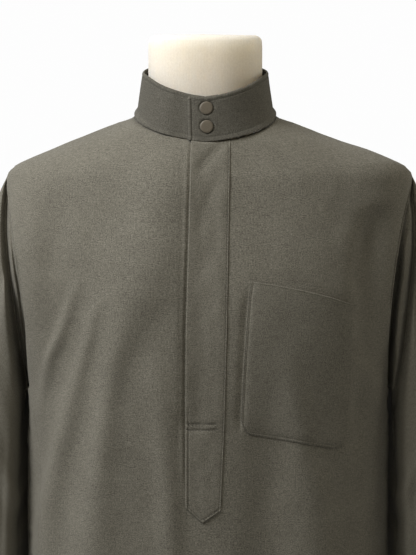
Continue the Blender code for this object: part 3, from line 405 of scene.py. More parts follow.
def wave_height(turn, z):
    total = np.zeros(np.shape(turn))
    for crest, half_width, height in SKIRT_WAVES:
        away = (turn - crest + 2) % 4 - 2
        total = total + height * bell(away, half_width)
    return total * ease((WAVE_TOP_Z - z) / (WAVE_TOP_Z - HEM_Z)) ** 1.2


def ripple(a, b, seed):
    """Soft uneven ripples from a few sines of unlike directions, between -1 and 1."""
    pick = np.random.default_rng(seed)
    total = np.zeros(np.shape(a))
    for _ in range(7):
        way, phase, rate = pick.uniform(0, math.pi), pick.uniform(0, 6.28), pick.uniform(0.55, 1.6)
        total = total + np.sin(rate * (a * math.cos(way) + b * math.sin(way)) + phase)
    return total / 7


def wrapped(turn):
    """The turn between -2 and 2, so that both sides are 1 away from the front."""
    return np.where(np.abs(turn) <= 2, turn, turn - 4)


def side_puckers(turn, z):
    """Short slanting puckers where the gore seams pull on the front and back."""
    total = np.zeros(np.shape(turn))
    pick = np.random.default_rng(11)
    for side in (-1.0, 1.0):
        for _ in range(34):
            place = pick.uniform(0.99, 1.29)
            slant, width = pick.uniform(-0.35, 0.5), pick.uniform(0.0024, 0.0048)
            depth, reach = pick.uniform(-0.0011, 0.0009), pick.uniform(0.05, 0.11)
            away = np.abs(side * wrapped(turn) - 1) - 0.12
            across = bell(np.abs(away), reach)
            total = total + depth * across * bell(z - place - slant * 0.2 * away, width)
    return total


def body_push(turn, z):
    """How far folds, waves, ripples and puckers push the body's cloth out."""
    base = ring_point(BODY, turn, z)
    side = np.cos(math.pi / 2 * turn)
    front = fold_height(FRONT_FOLDS, base[..., 0], z) + crest_height(FRONT_CRESTS, base[..., 0], z)
    front = front * ease(side * 2.6)
    back = fold_height(BACK_FOLDS, base[..., 0], z) * ease(-side * 2.6)
    push = front + back + wave_height(turn, z)
    from_side = np.abs(np.abs(wrapped(turn)) - 1)
    drawn = UNDERARM_DRAW * bell(from_side, 0.12)
    push = push - drawn * ease((z - 1.130) / 0.055) * ease((1.27 - z) / 0.05)
    push = push + 0.0009 * ripple(base[..., 0] / 0.016, z / 0.030, 3)
    push = push + 0.00035 * ripple(base[..., 0] / 0.006 + base[..., 1] / 0.006, z / 0.008, 5)
    return push + side_puckers(turn, z)


def body_point(turn, z):
    turn, z = np.broadcast_arrays(np.asarray(turn, float), np.asarray(z, float))
    base = ring_point(BODY, turn, z)
    point = base + ring_normal(BODY, turn, z) * body_push(turn, z)[..., None]
    forward = crest_height(FORWARD_CRESTS, base[..., 0], z) * ease(np.cos(math.pi / 2 * turn) * 3.5)
    point[..., 1] -= forward
    return point


def body_normal(turn, z):
    around = body_point(turn + 0.008, z) - body_point(turn - 0.008, z)
    up = body_point(turn, z + 0.002) - body_point(turn, z - 0.002)
    return unit(np.cross(around, up))


def turn_of_y(y, z):
    depth = np.where(y < 0, BODY["front"](z), BODY["back"](z))
    angle = np.arccos(np.minimum(1.0, np.abs(y) / depth) ** (BODY["square"](z) / 2)) / (math.pi / 2)
    return np.where(y < 0, angle, 2 - angle)


def turn_of_x(x, z):
    share = np.clip((x - BODY["shift"](z)) / BODY["half_width"](z), -1.0, 1.0)
    return np.arcsin(power(share, BODY["square"](z) / 2)) / (math.pi / 2)


def neck_z(line, back):
    front_z = NECK_FRONT_Z + (NECK_SIDE_Z - NECK_FRONT_Z) * np.abs(line) ** 1.45
    back_z = NECK_BACK_Z - (NECK_BACK_Z - NECK_SIDE_Z) * np.abs(line) ** 1.6
    return np.where(back, back_z, front_z)


def neck_turn(line, back):
    z = neck_z(line, back)
    x = BODY["shift"](z) + NECK_HALF_WIDTH * np.sin(math.pi / 2 * line)
    turn = np.where(np.abs(line) >= 1, np.sign(line), turn_of_x(x, z))
    return np.where(back, 2 - turn, turn)


def gap_turn(turn, z):
    """The turn by which a panel's edge is set back from its seam; below 0 the edges overlap a little."""
    step = 0.004
    span = np.linalg.norm(ring_point(BODY, turn + step, z) - ring_point(BODY, turn - step, z), axis=-1)
    return SEAM_GAP * SEAM_SETBACK / (span / (2 * step))


# Meshes of each piece
def mesh_object(name, points, faces, uvs):
    mesh = bpy.data.meshes.new(name)
    mesh.from_pydata(points.tolist(), [], faces.tolist() if hasattr(faces, "tolist") else faces)
    mesh.shade_smooth()
    layer = mesh.uv_layers.new(name="cloth")
    corners = np.empty(len(mesh.loops), int)
    mesh.loops.foreach_get("vertex_index", corners)
    layer.data.foreach_set("uv", uvs[corners].ravel())
    thing = bpy.data.objects.new(name, mesh)
    bpy.context.scene.collection.objects.link(thing)
    return thing


def grid_normals(points, closed):
    if closed:
        wide = np.concatenate([points[:, -2:-1], points[:, :-1], points[:, 1:2]], axis=1)
        across = wide[:, 2:] - wide[:, :-2]
        across = np.concatenate([across, across[:, :1]], axis=1)[:, :points.shape[1]]
    else:
        across = np.gradient(points, axis=1)
    return unit(np.cross(across, np.gradient(points, axis=0)))


def shell(name, points, uvs, thickness, normals=None, closed=False, flip=False):
    """A thin closed wall from a grid of rows and lines, with rims along its open edges."""
    rows, lines = points.shape[:2]
    if normals is None:
        normals = grid_normals(points, closed)
        if flip:
            normals = -normals
    inner = points - normals * thickness
    index = np.arange(rows * lines).reshape(rows, lines)
    a, b, c, d = index[:-1, :-1], index[1:, :-1], index[1:, 1:], index[:-1, 1:]
    outer_faces = np.stack([a, b, c, d], axis=-1).reshape(-1, 4)
    if flip:
        outer_faces = outer_faces[:, ::-1]
    count = rows * lines
    faces = [outer_faces, outer_faces[:, ::-1] + count]
    rims = [index[0], index[-1][::-1]]
    if not closed:
        rims += [index[:, -1], index[:, 0][::-1]]
    for rim in rims:
        strip = np.stack([rim[:-1], rim[1:], rim[1:] + count, rim[:-1] + count], axis=-1)
        faces.append(strip[:, ::-1] if flip else strip)
    both = np.concatenate([points.reshape(-1, 3), inner.reshape(-1, 3)])
    both_uv = np.concatenate([uvs.reshape(-1, 2)] * 2)
    thing = mesh_object(name, both, np.concatenate(faces), both_uv)
    if closed:
        weld = thing.modifiers.new("weld", "WELD")
        weld.merge_threshold = 0.00002
    return thing


# places close to a sewn edge that get a line of points of their own
EDGE_PLACES = np.array([0.00015, 0.00035, 0.0006, 0.0009, 0.0012, 0.0015, 0.0018, 0.0021, 0.0025, 0.0031,
                        0.0040])


def shares(count, length):
    """Places from 0 to 1 along a length, with extra ones close to both ends."""
    near = EDGE_PLACES / length
    return np.unique(np.round(np.concatenate([np.linspace(0, 1, count), near, 1 - near]), 6))


def sewn_edge(away, bead, groove, seat, drop):
    """Relief of a folded and stitched edge: a roll down at the fold and a dip at the stitches' seat."""
    roll = -drop * np.clip(1 - away / 0.0006, 0, 1) ** 2
    rise = bead * bell(away - 0.0010, 0.0006)
    dip = -groove * bell(away - seat, 0.0006)
    return roll + rise + dip


def rows_of_panel(fine_step, coarse_step):
    high = np.arange(TIP_Z, 0.96, -fine_step)
    low = np.linspace(0.96, HEM_Z, max(2, int((0.96 - HEM_Z) / coarse_step)))
    return np.concatenate([high, low])


def panel_grid(line, back, fine_step, coarse_step):
    """Turns and heights of a panel's grid from the neck and shoulder seams to the hem."""
    lines = len(line)
    heights = rows_of_panel(fine_step, coarse_step)
    side = np.sign(line) + (line == 0)
    if back:
        edge = turn_of_y(EDGE["back_y"](heights), heights)
        edge = edge + gap_turn(edge, heights)
        low_turn = 2 - line[None, :] * (2 - edge)[:, None]
    else:
        edge = turn_of_y(EDGE["front_y"](heights), heights)
        edge = edge - gap_turn(edge, heights)
        low_turn = line[None, :] * edge[:, None]
    low_z = np.repeat(heights[:, None], lines, axis=1)
    steps = max(8, int(0.055 / fine_step))
    share = np.linspace(0, 1, steps, endpoint=False)[:, None]
    top_z, top_turn = neck_z(line, back), neck_turn(line, back)
    z = top_z[None, :] + (TIP_Z - top_z[None, :]) * share
    turn = top_turn[None, :] + (low_turn[0][None, :] - top_turn[None, :]) * share
    for column in (0, -1):
        trim = gap_turn(1.0, z[:, column])
        turn[:, column] = (2 - side[column] * (1 - trim)) if back else side[column] * (1 - trim)
    return np.concatenate([turn, low_turn]), np.concatenate([z, low_z])


SEAM_PLACES = np.array([0.0006, 0.0012, 0.0020, 0.0028, 0.0035, 0.0039, 0.0043, 0.0050, 0.0060, 0.0075])
YOKE_AT = 0.062


def panel_lines(count, length):
    """Places from -1 to 1 across a panel, closer together beside its seams."""
    near = SEAM_PLACES / length
    yoke = YOKE_AT + np.array([-0.010, -0.006, -0.003, -0.0012, 0.0, 0.0012, 0.003, 0.006, 0.010])
    places = np.concatenate([near, yoke])
    return np.unique(np.round(np.concatenate([np.linspace(-1, 1, count), 1 - places, places - 1]), 6))


def seam_relief(line, z, length, stitched):
    """Relief beside the armholes: a rolled edge, and a line of stitches inside it."""
    away = (1 - np.abs(line)) * length
    relief = -0.0005 * np.clip(1 - away / 0.0012, 0, 1) ** 2
    reach = ease((TIP_Z - 0.015 - z) / 0.02) * ease((z - 1.275) / 0.03)
    side = np.where(line > 0, stitched, 0.25 * stitched)
    relief = relief - side * 0.0017 * bell(away - ARMHOLE_STITCH_INSET, 0.0009) * reach
    return relief + side * 0.0006 * bell(away - 0.0020, 0.0012) * reach


def yoke_relief(line, z, back):
    """The shoulder seams: the cloth behind them lies a little lower."""
    away = 1 - np.abs(line)
    reach = ease((z - TIP_Z + 0.006) / 0.008)
    if back:
        return -0.0010 * bell(away, 0.25) * reach
    step = -0.0016 * ease((YOKE_AT + 0.0012 - away) / 0.0024)
    step = step - 0.0014 * bell(away - YOKE_AT + 0.001, 0.0022)
    return (step + 0.0004 * bell(away - YOKE_AT - 0.006, 0.005)) * reach


def body_panel(name, count, back, fine_step, coarse_step):
    line = panel_lines(count, PANEL_HALF)
    if not back:
        line = np.unique(np.concatenate([line] + [np.arange(*stretch) for stretch in FINE_LINES]))
    line = line[np.concatenate([[True], np.diff(line) > CLOSEST_LINES])]
    turn, z = panel_grid(line, back, fine_step, coarse_step)
    normals = body_normal(turn, z)
    wide = np.repeat(line[None, :], z.shape[0], axis=0)
    relief = seam_relief(wide, z, PANEL_HALF, 0.0 if back else 1.0) + yoke_relief(wide, z, back)
    if not back:
        x = body_point(turn, z)[..., 0]
        edge = bands(PLACKET_LEFT, z)
        dip = curve([row[0] for row in PLACKET_DIP], [row[1] for row in PLACKET_DIP])(z)
        beside = ease((edge + 0.0020 - x) / 0.0022) * ease((z - TACK_TOP_Z + 0.09) / 0.05)
        relief = relief - dip * bell(edge - x, 0.0065) * beside
        relief = relief + 0.0010 * bell(edge - x - 0.0036, 0.0026) * beside
        edge = bands(POCKET_LEFT, z)
        beside = ease((edge + 0.0020 - x) / 0.0022) * ease((1.3180 - z) / 0.030) * ease((z - 1.150) / 0.020)
        relief = relief - 0.0021 * bell(edge - x, 0.0060) * beside
    points = body_point(turn, z) + normals * relief[..., None]
    around = TURN_LENGTH * (turn - (2 if back else 0))
    return shell(name, points, np.stack([around, z], axis=-1), CLOTH, normals)


def gore_panel(name, side):
    heights = rows_of_panel(0.004, 0.012)
    heights = np.concatenate([[UNDERARM_Z], heights[heights < UNDERARM_Z]])
    near = turn_of_y(EDGE["front_y"](heights), heights)
    far = turn_of_y(EDGE["back_y"](heights), heights)
    near, far = near + gap_turn(near, heights), far - gap_turn(far, heights)
    share = shares(44, 0.12)[None, :]
    turn = near[:, None] + (far - near)[:, None] * share
    z = np.repeat(heights[:, None], share.shape[1], axis=1)
    z = z - 0.006 * (1 - (2 * share - 1) ** 2) * ease(1 - (UNDERARM_Z - z) / 0.03)
    if side < 0:
        turn = (4 - turn)[:, ::-1]
    normals = body_normal(turn, z)
    away = np.minimum(share, 1 - share) * (far - near)[:, None] * TURN_LENGTH
    points = body_point(turn, z) - normals * (0.0005 * bell(away, 0.0012))[..., None]
    return shell(name, points, np.stack([TURN_LENGTH * turn, z], axis=-1), CLOTH, normals)


def front_at(x, z, lift):
    """Points this far out from the front's cloth, at x and z."""
    turn = turn_of_x(x, z)
    normals = body_normal(turn, z)
    return body_point(turn, z) + normals * np.asarray(lift)[..., None], normals


def bands(run, at):
    """A straight run between listed places."""
    return np.interp(at, [p[0] for p in sorted(run)], [p[1] for p in sorted(run)])


# wall of a piece that lies on another
PATCH = 0.0013


def placket_piece():
    share = shares(26, 0.0425)[None, :]
    places = [np.linspace(0, 1, 170), np.linspace(0.742, 0.788, 40), 1 - EDGE_PLACES / 0.40]
    fall = np.unique(np.concatenate(places))[:, None]
    low = bands(PLACKET_END, share)
    top_x = -0.0185 + (0.0246 + 0.0185) * share
    top_line = np.arcsin((top_x + 0.002) / NECK_HALF_WIDTH) / (math.pi / 2)
    top = neck_z(top_line, False) - 0.0008
    z = top + (low - top) * fall
    left, right = bands(PLACKET_LEFT, z), bands(PLACKET_RIGHT, z)
    x = left + (right - left) * share
    loose = ease((z - TACK_TOP_Z) / 0.02)
    width = right - left
    from_left, from_right, from_end = share * width, (1 - share) * width, (z - low) * 0.9
    proud = 0.0024 * bell(z - 1.235, 0.070) + 0.0007
    wall = PATCH - 0.0007 * ease(1 - from_right / 0.010)
    lift = SEAM_GAP + wall + proud * np.clip(1 - share * 2.2, 0, 1) ** 1.3 * loose
    lift = lift + sewn_edge(from_right, 0.0003, 0.0003, 0.0019, 0.0006) + crest_height(PLACKET_CRESTS, x, z)
    lift = lift + loose * sewn_edge(from_left, 0.0, 0.0, 0.003, 0.0010)
    lift = lift + (1 - loose) * sewn_edge(from_left, 0.0002, 0.0005, 0.0030, 0.0008)
    lift = lift + sewn_edge(from_end, 0.0003, 0.0005, 0.0030, 0.0008)
    across = bell(np.clip(from_left - (TACK_RIGHT_X - TACK_LEFT_X), 0, 1), 0.001)
    lift = lift - 0.0011 * bell(z - TACK_TOP_Z + 0.001, 0.0014) * across
    lift = lift - 0.0009 * bell(z - TACK_LOW_Z, 0.0013) * across
    lift = lift + 0.00045 * ripple(x / 0.004, z / 0.007, 21)
    points, normals = front_at(x, z, lift)
    return shell("placket_cloth", points, np.stack([x + 0.6, z], axis=-1), wall[..., None], normals)


def pocket_grid(share, fall):
    left_top, right_top = 0.0465, 0.1600
    x_flat = left_top + (right_top - left_top) * share
    top = bands(POCKET_TOP, x_flat)
    for _ in range(3):
        z = top + (bands(POCKET_END, x_flat) - top) * fall
        left, right = bands(POCKET_LEFT, z), bands(POCKET_RIGHT, z)
        x_flat = left + (right - left) * share
    return x_flat, z


def pocket_piece():
    share, fall = shares(62, POCKET_WIDTH)[None, :], shares(84, POCKET_HEIGHT)[:, None]
    x, z = pocket_grid(share, fall)
    from_left, from_right = share * POCKET_WIDTH, (1 - share) * POCKET_WIDTH
    from_top, from_end = fall * POCKET_HEIGHT, (1 - fall) * POCKET_HEIGHT
    inner = ease(np.minimum(np.minimum(from_left, from_right), from_end) / 0.012)
    slack = np.sin(math.pi * np.clip(share, 0, 1)) * bell(fall, 0.16)
    thin = np.maximum(ease(1 - from_right / 0.016), ease(1 - from_end / 0.010))
    wall = PATCH - 0.0010 * np.maximum(thin, ease(1 - from_left / 0.009))
    lift = SEAM_GAP + wall + 0.0014 * slack + 0.0005 * ripple(x / 0.012, z / 0.018, 31) * inner
    lift = lift + sewn_edge(from_left, 0.0, 0.0004, 0.0030, 0.0)
    lift = lift + sewn_edge(from_end, 0.0, 0.0003, 0.0030, 0.0)
    lift = lift + sewn_edge(from_top, 0.0003, 0.0, 0.003, 0.0006)
    double = bell(from_left - 0.0068, 0.0006) * np.clip((0.022 - from_top) / 0.002, 0, 1)
    lift = lift - 0.0005 * double
    points, normals = front_at(x, z, lift)
    uvs = np.stack([x + 0.9, z - 0.02 * share], axis=-1)
    return shell("pocket_painted_shade_cloth", points, uvs, wall[..., None], normals)


def collar_point(angle, share, out):
    """Points of the collar: degrees round the neck, share of its height and how far out they lie."""
    plain = np.mod(angle, 360.0)
    line = np.where(plain <= 180, plain / 90, (plain - 360) / 90)
    back = np.abs(line) > 1
    line = np.where(back, np.sign(line) * (2 - np.abs(line)), line)
    seam = ring_point(BODY, neck_turn(line, back), neck_z(line, back))
    seam[..., 2] += COLLAR_LIFT
    mirrored = np.where(plain <= 180, plain, 360 - plain)
    radians = np.radians(plain)
    depth = np.where(np.cos(radians) >= 0, COLLAR_TOP_FRONT, COLLAR_TOP_BACK)
    x = NECK_SHIFT + COLLAR_TOP_HALF_WIDTH * power(np.sin(radians), 0.94)
    top = np.stack([x, -depth * power(np.cos(radians), 0.94), COLLAR_TOP_Z(mirrored)], axis=-1)
    point = seam + (top - seam) * np.asarray(share)[..., None]
    outward = np.stack([np.sin(radians), -np.cos(radians), np.zeros_like(radians)], axis=-1)
    step = 0.0036 * ease((angle - 322) / 20)
    drawn_in = 0.0022 * np.sin(radians) ** 2 * ease(share / 0.15)
    return point + outward * (out - step - drawn_in)[..., None]


# depth of the dent that a snap presses into the collar
SNAP_DENT = 0.0011


def collar_relief(angle, share):
    """Relief of the collar: sewn edges, a bead down the lap's end and dents round the snaps."""
    height = COLLAR_HEIGHT
    from_top, from_lap = (1 - share) * height, (angle - COLLAR_START) * COLLAR_PACE
    out = sewn_edge(from_top, 0.0002, 0.0003, 0.0034, 0.0006)
    out = out + sewn_edge(from_lap, 0.0009, 0.0011, 0.0024, 0.0006) * ease((1.02 - share) / 0.1)
    out = out + 0.0007 * bell(share * height, 0.0022)
    out = out - 0.0003 * bell(share * height - 0.0044, 0.0008)
    spot = np.radians(angle) * COLLAR_RADIUS
    snap_spot = math.asin((SNAP_X - NECK_SHIFT) / COLLAR_RADIUS) * COLLAR_RADIUS
    low_z = NECK_FRONT_Z + COLLAR_LIFT
    for z in SNAP_HEIGHTS.values():
        away = np.hypot(spot - snap_spot, share * (float(COLLAR_TOP_Z(0.0)) - low_z) - (z - low_z))
        out = out - SNAP_DENT * bell(away - SNAP_RADIUS, 0.0012)
    return out + 0.0004 * ripple(angle * 0.22, share * 5, 41)


def collar_piece():
    near = COLLAR_START + np.concatenate([[0.0], EDGE_PLACES]) / COLLAR_PACE
    lap, ring = np.linspace(COLLAR_START + 3.6, 16, 60), np.linspace(16, COLLAR_END, 260)
    angle = np.unique(np.concatenate([near, lap, ring]))
    share = shares(40, COLLAR_HEIGHT)
    angle, share = np.meshgrid(angle, share)
    corner = np.clip(1 - (angle - COLLAR_START) * COLLAR_PACE / 0.0030, 0, 1)
    drop = 0.0030 * (1 - np.sqrt(np.clip(1 - corner ** 2, 0, 1))) * ease((share - 0.80) / 0.20)
    drop = drop + 0.0012 * ease((16 - angle) / 20) * share
    points = collar_point(angle, share, collar_relief(angle, share))
    points[..., 2] -= drop
    uv = np.stack([np.radians(angle) * 0.072 + 1.4, share * COLLAR_HEIGHT], axis=-1)
    return shell("collar_painted_shade_cloth", points, uv, COLLAR_WALL, flip=True)


def sleeve_ring(along, angle, side):
    """Points round a sleeve between its top, underarm, front and back guides."""
    s = {n: SLEEVE[n](along) for n in SLEEVE_COLUMNS[1:]}
    zero = np.zeros_like(s["over_x"])
    over = np.stack([s["over_x"], zero, s["over_z"]], axis=-1)
    under = np.stack([s["under_x"], zero, s["under_z"]], axis=-1)
    fore = np.stack([s["fore_x"], s["fore_y"], s["fore_z"]], axis=-1)
    hind = np.stack([s["hind_x"], s["hind_y"], s["hind_z"]], axis=-1)
    middle = (over + under) / 2
    lean = (fore + hind) / 2 - middle
    cos, sin = power(np.cos(angle), SLEEVE_SQUARE)[..., None], power(np.sin(angle), SLEEVE_SQUARE)[..., None]
    point = middle + (over - under) / 2 * cos + (fore - hind) / 2 * sin + lean * sin * sin
    return point * np.array([side, 1, 1])


def armhole_line(side):
    """A dense closed run round the armhole, tucked just under the edge of the body's cloth."""
    down = np.linspace(TIP_Z, UNDERARM_Z, 160)
    front = turn_of_y(EDGE["front_y"](down), down)
    share = np.linspace(0, 1, 40)[1:-1]
    dip = 0.006 * (1 - (2 * share - 1) ** 2)
    back = turn_of_y(EDGE["back_y"](down[::-1]), down[::-1])
    turn = np.concatenate([front, front[-1] + (back[0] - front[-1]) * share, back[:-1]])
    z = np.concatenate([down, UNDERARM_Z - dip, down[::-1][:-1]])
    turn = turn if side > 0 else 4 - turn
    points, normals = body_point(turn, z), body_normal(turn, z)
    return points - normals * 0.0007, down.size - 1 + 20


def sleeve_fold(along, angle, side):
    """Folds down an empty sleeve: a deep one in front, others behind, under and across."""
    degrees = np.degrees(angle)
    start = 62 if side > 0 else 58
    total = -0.0080 * bell(degrees - start - 8 * along, 13)
    total = total - 0.0060 * bell(degrees - 305, 16)
    total = total + 0.0030 * bell(degrees - 20, 14)
    total = total - 0.0035 * bell(degrees - 345 + 20 * along, 9)
    total = total - 0.0030 * bell(degrees - 98, 8) * ease((along - 0.3) / 0.3)
    total = total * ease((along - 0.02) / 0.12) * (1 - 0.35 * along)
    wave = np.sin(along * 40 + 2.2 * np.cos(angle + 0.8) * 3)
    slack = 0.0016 * wave * bell(along - 0.52, 0.10)
    return total + slack + 0.0010 * ripple(degrees / 14, along * 22, 51 + int(side)) * ease(along / 0.1)


def sleeve_pleats(points, angle, side):
    """How far back the pleats beside the armhole push the front of the sleeve."""
    x, z = points[..., 0] * side, points[..., 2]
    back = np.zeros(x.shape)
    for top_width, low_width, top_depth, low_depth, run in SLEEVE_PLEATS[side]:
        places, heights = np.array(run).T
        share = np.clip((heights[0] - z) / (heights[0] - heights[-1]), 0, 1)
        width = top_width + (low_width - top_width) * share
        depth = top_depth + (low_depth - top_depth) * share
        fade = ease((heights[0] + 0.004 - z) / 0.012) * ease((z - heights[-1] + 0.05) / 0.05)
        back = back + depth * fade * bell(x - curve(heights, places)(z), width)
    heights, ends, depths = zip(*SLEEVE_INNER[side])
    inset, reach = SLEEVE_SOFTNESS[side]
    back = back + curve(heights, depths)(z) * (1 - ease((x - curve(heights, ends)(z) + inset) / reach))
    heights, depths = zip(*SLEEVE_BACK)
    back = back + curve(heights, depths)(z)
    return back * ease(np.sin(angle) * 3)


def sleeve_piece(name, side):
    edge, half_at = armhole_line(side)
    steps = np.linalg.norm(np.diff(np.concatenate([edge, edge[:1]]), axis=0), axis=-1)
    length = np.concatenate([[0], np.cumsum(steps)])
    half, whole = length[half_at], length[-1]
    degrees = np.concatenate([np.arange(*stretch) for stretch in SLEEVE_STEPS] + [[360]])
    angle = np.radians(degrees)
    second_half = half + (whole - half) * (angle - math.pi) / math.pi
    at = np.where(angle <= math.pi, half * angle / math.pi, second_half)
    closed_edge = np.concatenate([edge, edge[:1]])
    start = np.stack([np.interp(at, length, closed_edge[:, i]) for i in range(3)], axis=-1)
    along = np.linspace(0, 1, SLEEVE_ROWS) ** SLEEVE_PACE
    along, angle = np.meshgrid(along, angle, indexing="ij")
    fade = (1 - ease(along / 0.30))[..., None]
    first = sleeve_ring(np.zeros_like(along), angle, side)
    points = sleeve_ring(along, angle, side) + (start[None] - first) * fade
    points[0] = start
    flip = side < 0
    normals = grid_normals(points, True) * (-1 if flip else 1)
    points = points + normals * sleeve_fold(along, angle, side)[..., None]
    points[..., 1] += sleeve_pleats(points, angle, side) * ease(along / 0.004)
    points[:, -1] = points[:, 0]
    normals = grid_normals(points, True) * (-1 if flip else 1)
    normals[:, -1] = normals[:, 0]
    uv = np.stack([angle * 0.065 + 2.0, along * 0.6], axis=-1)
    return shell(name, points, uv, CLOTH, normals, closed=True, flip=flip), points, normals


def ring_faces(count, sides, downwards=False):
    """Faces between rings of points that follow each other up or down a round piece."""
    faces = []
    for r in range(count - 1):
        for i in range(sides):
            j = (i + 1) % sides
            a, b, c, d = r * sides + i, r * sides + j, (r + 1) * sides + j, (r + 1) * sides + i
            faces.append((a, d, c, b) if downwards else (a, b, c, d))
    return faces


def lathe(name, profile, sides):
    profile = np.array(profile)
    angle = np.linspace(0, 2 * math.pi, sides, endpoint=False)
    rings = np.stack([profile[:, 0][:, None] * np.cos(angle), profile[:, 0][:, None] * np.sin(angle),
                      np.repeat(profile[:, 1][:, None], sides, axis=1)], axis=-1)
    count = len(profile)
    faces = ring_faces(count, sides)
    faces.append(tuple(reversed(range(sides))))
    faces.append(tuple(range((count - 1) * sides, count * sides)))
    uv = np.stack([np.tile(angle * 0.1, count), np.repeat(profile[:, 1], sides)], axis=-1)
    return mesh_object(name, rings.reshape(-1, 3), faces, uv)


def form_piece():
    sides = 128
    heights = np.concatenate([np.linspace(*stretch) for stretch in FORM_STRETCHES])
    turn = np.linspace(0, 4, sides, endpoint=False)
    grid = ring_point(FORM, turn[None, :], heights[:, None])
    faces = ring_faces(len(heights), sides, downwards=True)
    points = grid.reshape(-1, 3)
    top, low = len(points), len(points) + 1
    points = np.concatenate([points, [[-0.003, 0.002, 1.5848], [0, 0, 0.7795]]])
    last = (len(heights) - 1) * sides
    faces += [(top, i, (i + 1) % sides) for i in range(sides)]
    faces += [(low, last + (i + 1) % sides, last + i) for i in range(sides)]
    uv = np.stack([points[:, 0], points[:, 2]], axis=-1)
    return mesh_object("form_jersey", points, faces, uv)


# half section of a snap's cap: shares of its radius and of its height
SNAP_PROFILE = [(0.001, -0.2), (0.8, -0.2), (0.84, 0.2), (0.93, 0.3), (0.97, 0.42), (0.985, 0.58),
                (0.97, 0.76), (0.93, 0.9), (0.86, 0.985), (0.78, 1.02), (0.6, 1.03), (0.3, 1.035),
                (0.001, 1.04)]


def snap_piece(name, z):
    low_z = NECK_FRONT_Z + COLLAR_LIFT
    share = (z - low_z) / (float(COLLAR_TOP_Z(0.0)) - low_z)
    angle = math.degrees(math.asin((SNAP_X - NECK_SHIFT) / COLLAR_RADIUS))

    def at(degrees, height):
        return collar_point(np.array(float(degrees)), np.array(float(height)), np.array(0.0))

    middle = at(angle, share)
    across = unit(at(angle + 2, share) - at(angle - 2, share))
    up = unit(at(angle, share + 0.05) - at(angle, share - 0.05))
    out = unit(np.cross(across, up))
    out = -out if out[1] > 0 else out
    thing = lathe(name, [(r * SNAP_RADIUS, SEAM_GAP + h * SNAP_HEIGHT) for r, h in SNAP_PROFILE], 56)
    points = np.array([v.co[:] for v in thing.data.vertices])
    placed = middle + points[:, :1] * across + points[:, 1:2] * up + points[:, 2:3] * out
    thing.data.vertices.foreach_set("co", placed.ravel())
    thing.data.update()
    return thing


# the four rings of a stitch: how far each stands out and its share of the thread's radius
STITCH_RINGS = [(-0.0004, 0.5), (0.00012, 1.0), (0.00012, 1.0), (-0.0004, 0.5)]
THREAD_RADIUS = 0.00027


def stitches(name, runs, length=0.0024, gap=0.0010):
    """Short threads along runs of (points, normals), as one joined mesh."""
    points, faces = [], []
    sides = 6
    for run, normals in runs:
        run, normals = np.asarray(run), np.asarray(normals)
        steps = np.linalg.norm(np.diff(run, axis=0), axis=-1)
        reach = np.concatenate([[0], np.cumsum(steps)])
        count = max(1, int(reach[-1] / (length + gap)))
        pitch = reach[-1] / count
        for k in range(count):
            ends = [k * pitch + 0.5 * gap, (k + 1) * pitch - 0.5 * gap]
            stations = np.linspace(ends[0], ends[1], 4)
            centre = np.stack([np.interp(stations, reach, run[:, i]) for i in range(3)], axis=-1)
            normal = unit(np.stack([np.interp(stations, reach, normals[:, i]) for i in range(3)], axis=-1))
            way = unit(centre[-1] - centre[0])
            side = unit(np.cross(normal, way))
            first = len(points)
            for j, (rise, size) in enumerate(STITCH_RINGS):
                for q in range(sides):
                    turn = 2 * math.pi * q / sides
                    spot = centre[j] + normal[j] * (rise + THREAD_RADIUS * 0.8 * size * math.sin(turn))
                    points.append(spot + side[j] * THREAD_RADIUS * size * math.cos(turn))
            for j in range(3):
                for q in range(sides):
                    a, b = first + j * sides + q, first + j * sides + (q + 1) % sides
                    faces.append((a, b, b + sides, a + sides))
            faces.append(tuple(first + q for q in reversed(range(sides))))
            faces.append(tuple(first + 3 * sides + q for q in range(sides)))
    points = np.array(points)
    return mesh_object(name, points, faces, points[:, [0, 2]])


# Materials
class Tree:
    """A material's node tree with short helpers."""

    def __init__(self, name):
        self.material = bpy.data.materials.new(name)
        self.material.use_nodes = True
        self.nodes, self.links = self.material.node_tree.nodes, self.material.node_tree.links
        self.shader = self.nodes["Principled BSDF"]

    def node(self, kind, settings=(), **inputs):
        made = self.nodes.new(kind)
        for key, value in dict(settings).items():
            setattr(made, key, value)
        for key, value in inputs.items():
            socket = made.inputs[int(key[1:])] if key[0] == "i" and key[1:].isdigit() else made.inputs[key]
            if isinstance(value, bpy.types.NodeSocket):
                self.links.new(value, socket)
            else:
                socket.default_value = value
        return made

    def math(self, operation, a, b=0.0):
        return self.node("ShaderNodeMath", {"operation": operation}, i0=a, i1=b).outputs[0]

    def noise(self, place, scale, detail=2.0, rough=0.55):
        made = self.node("ShaderNodeTexNoise", {}, Vector=place, Scale=scale, Detail=detail, Roughness=rough)
        return made.outputs[0]

    def scaled(self, place, x, y, z=1.0):
        return self.node("ShaderNodeMapping", {}, Vector=place, Scale=(x, y, z)).outputs[0]

    def mix(self, share, a, b):
        made = self.node("ShaderNodeMix", {"data_type": "RGBA"}, Factor=share)
        for socket, value in ((made.inputs[6], a), (made.inputs[7], b)):
            if isinstance(value, bpy.types.NodeSocket):
                self.links.new(value, socket)
            else:
                socket.default_value = value
        return made.outputs[2]

    def ramp(self, value, low, high):
        made = self.node("ShaderNodeMapRange", {}, Value=value)
        made.inputs["From Min"].default_value, made.inputs["From Max"].default_value = low, high
        return made.outputs[0]

    def bump(self, height, distance, strength, normal=None):
        made = self.node("ShaderNodeBump", {}, Height=height, Distance=distance, Strength=strength)
        if normal is not None:
            self.links.new(normal, made.inputs["Normal"])
        return made.outputs[0]

    def finish(self, colour, normal=None, **values):
        self.links.new(colour, self.shader.inputs["Base Color"])
        if normal is not None:
            self.links.new(normal, self.shader.inputs["Normal"])
        for key, value in values.items():
            self.shader.inputs[key.replace("_", " ")].default_value = value
        return self.material


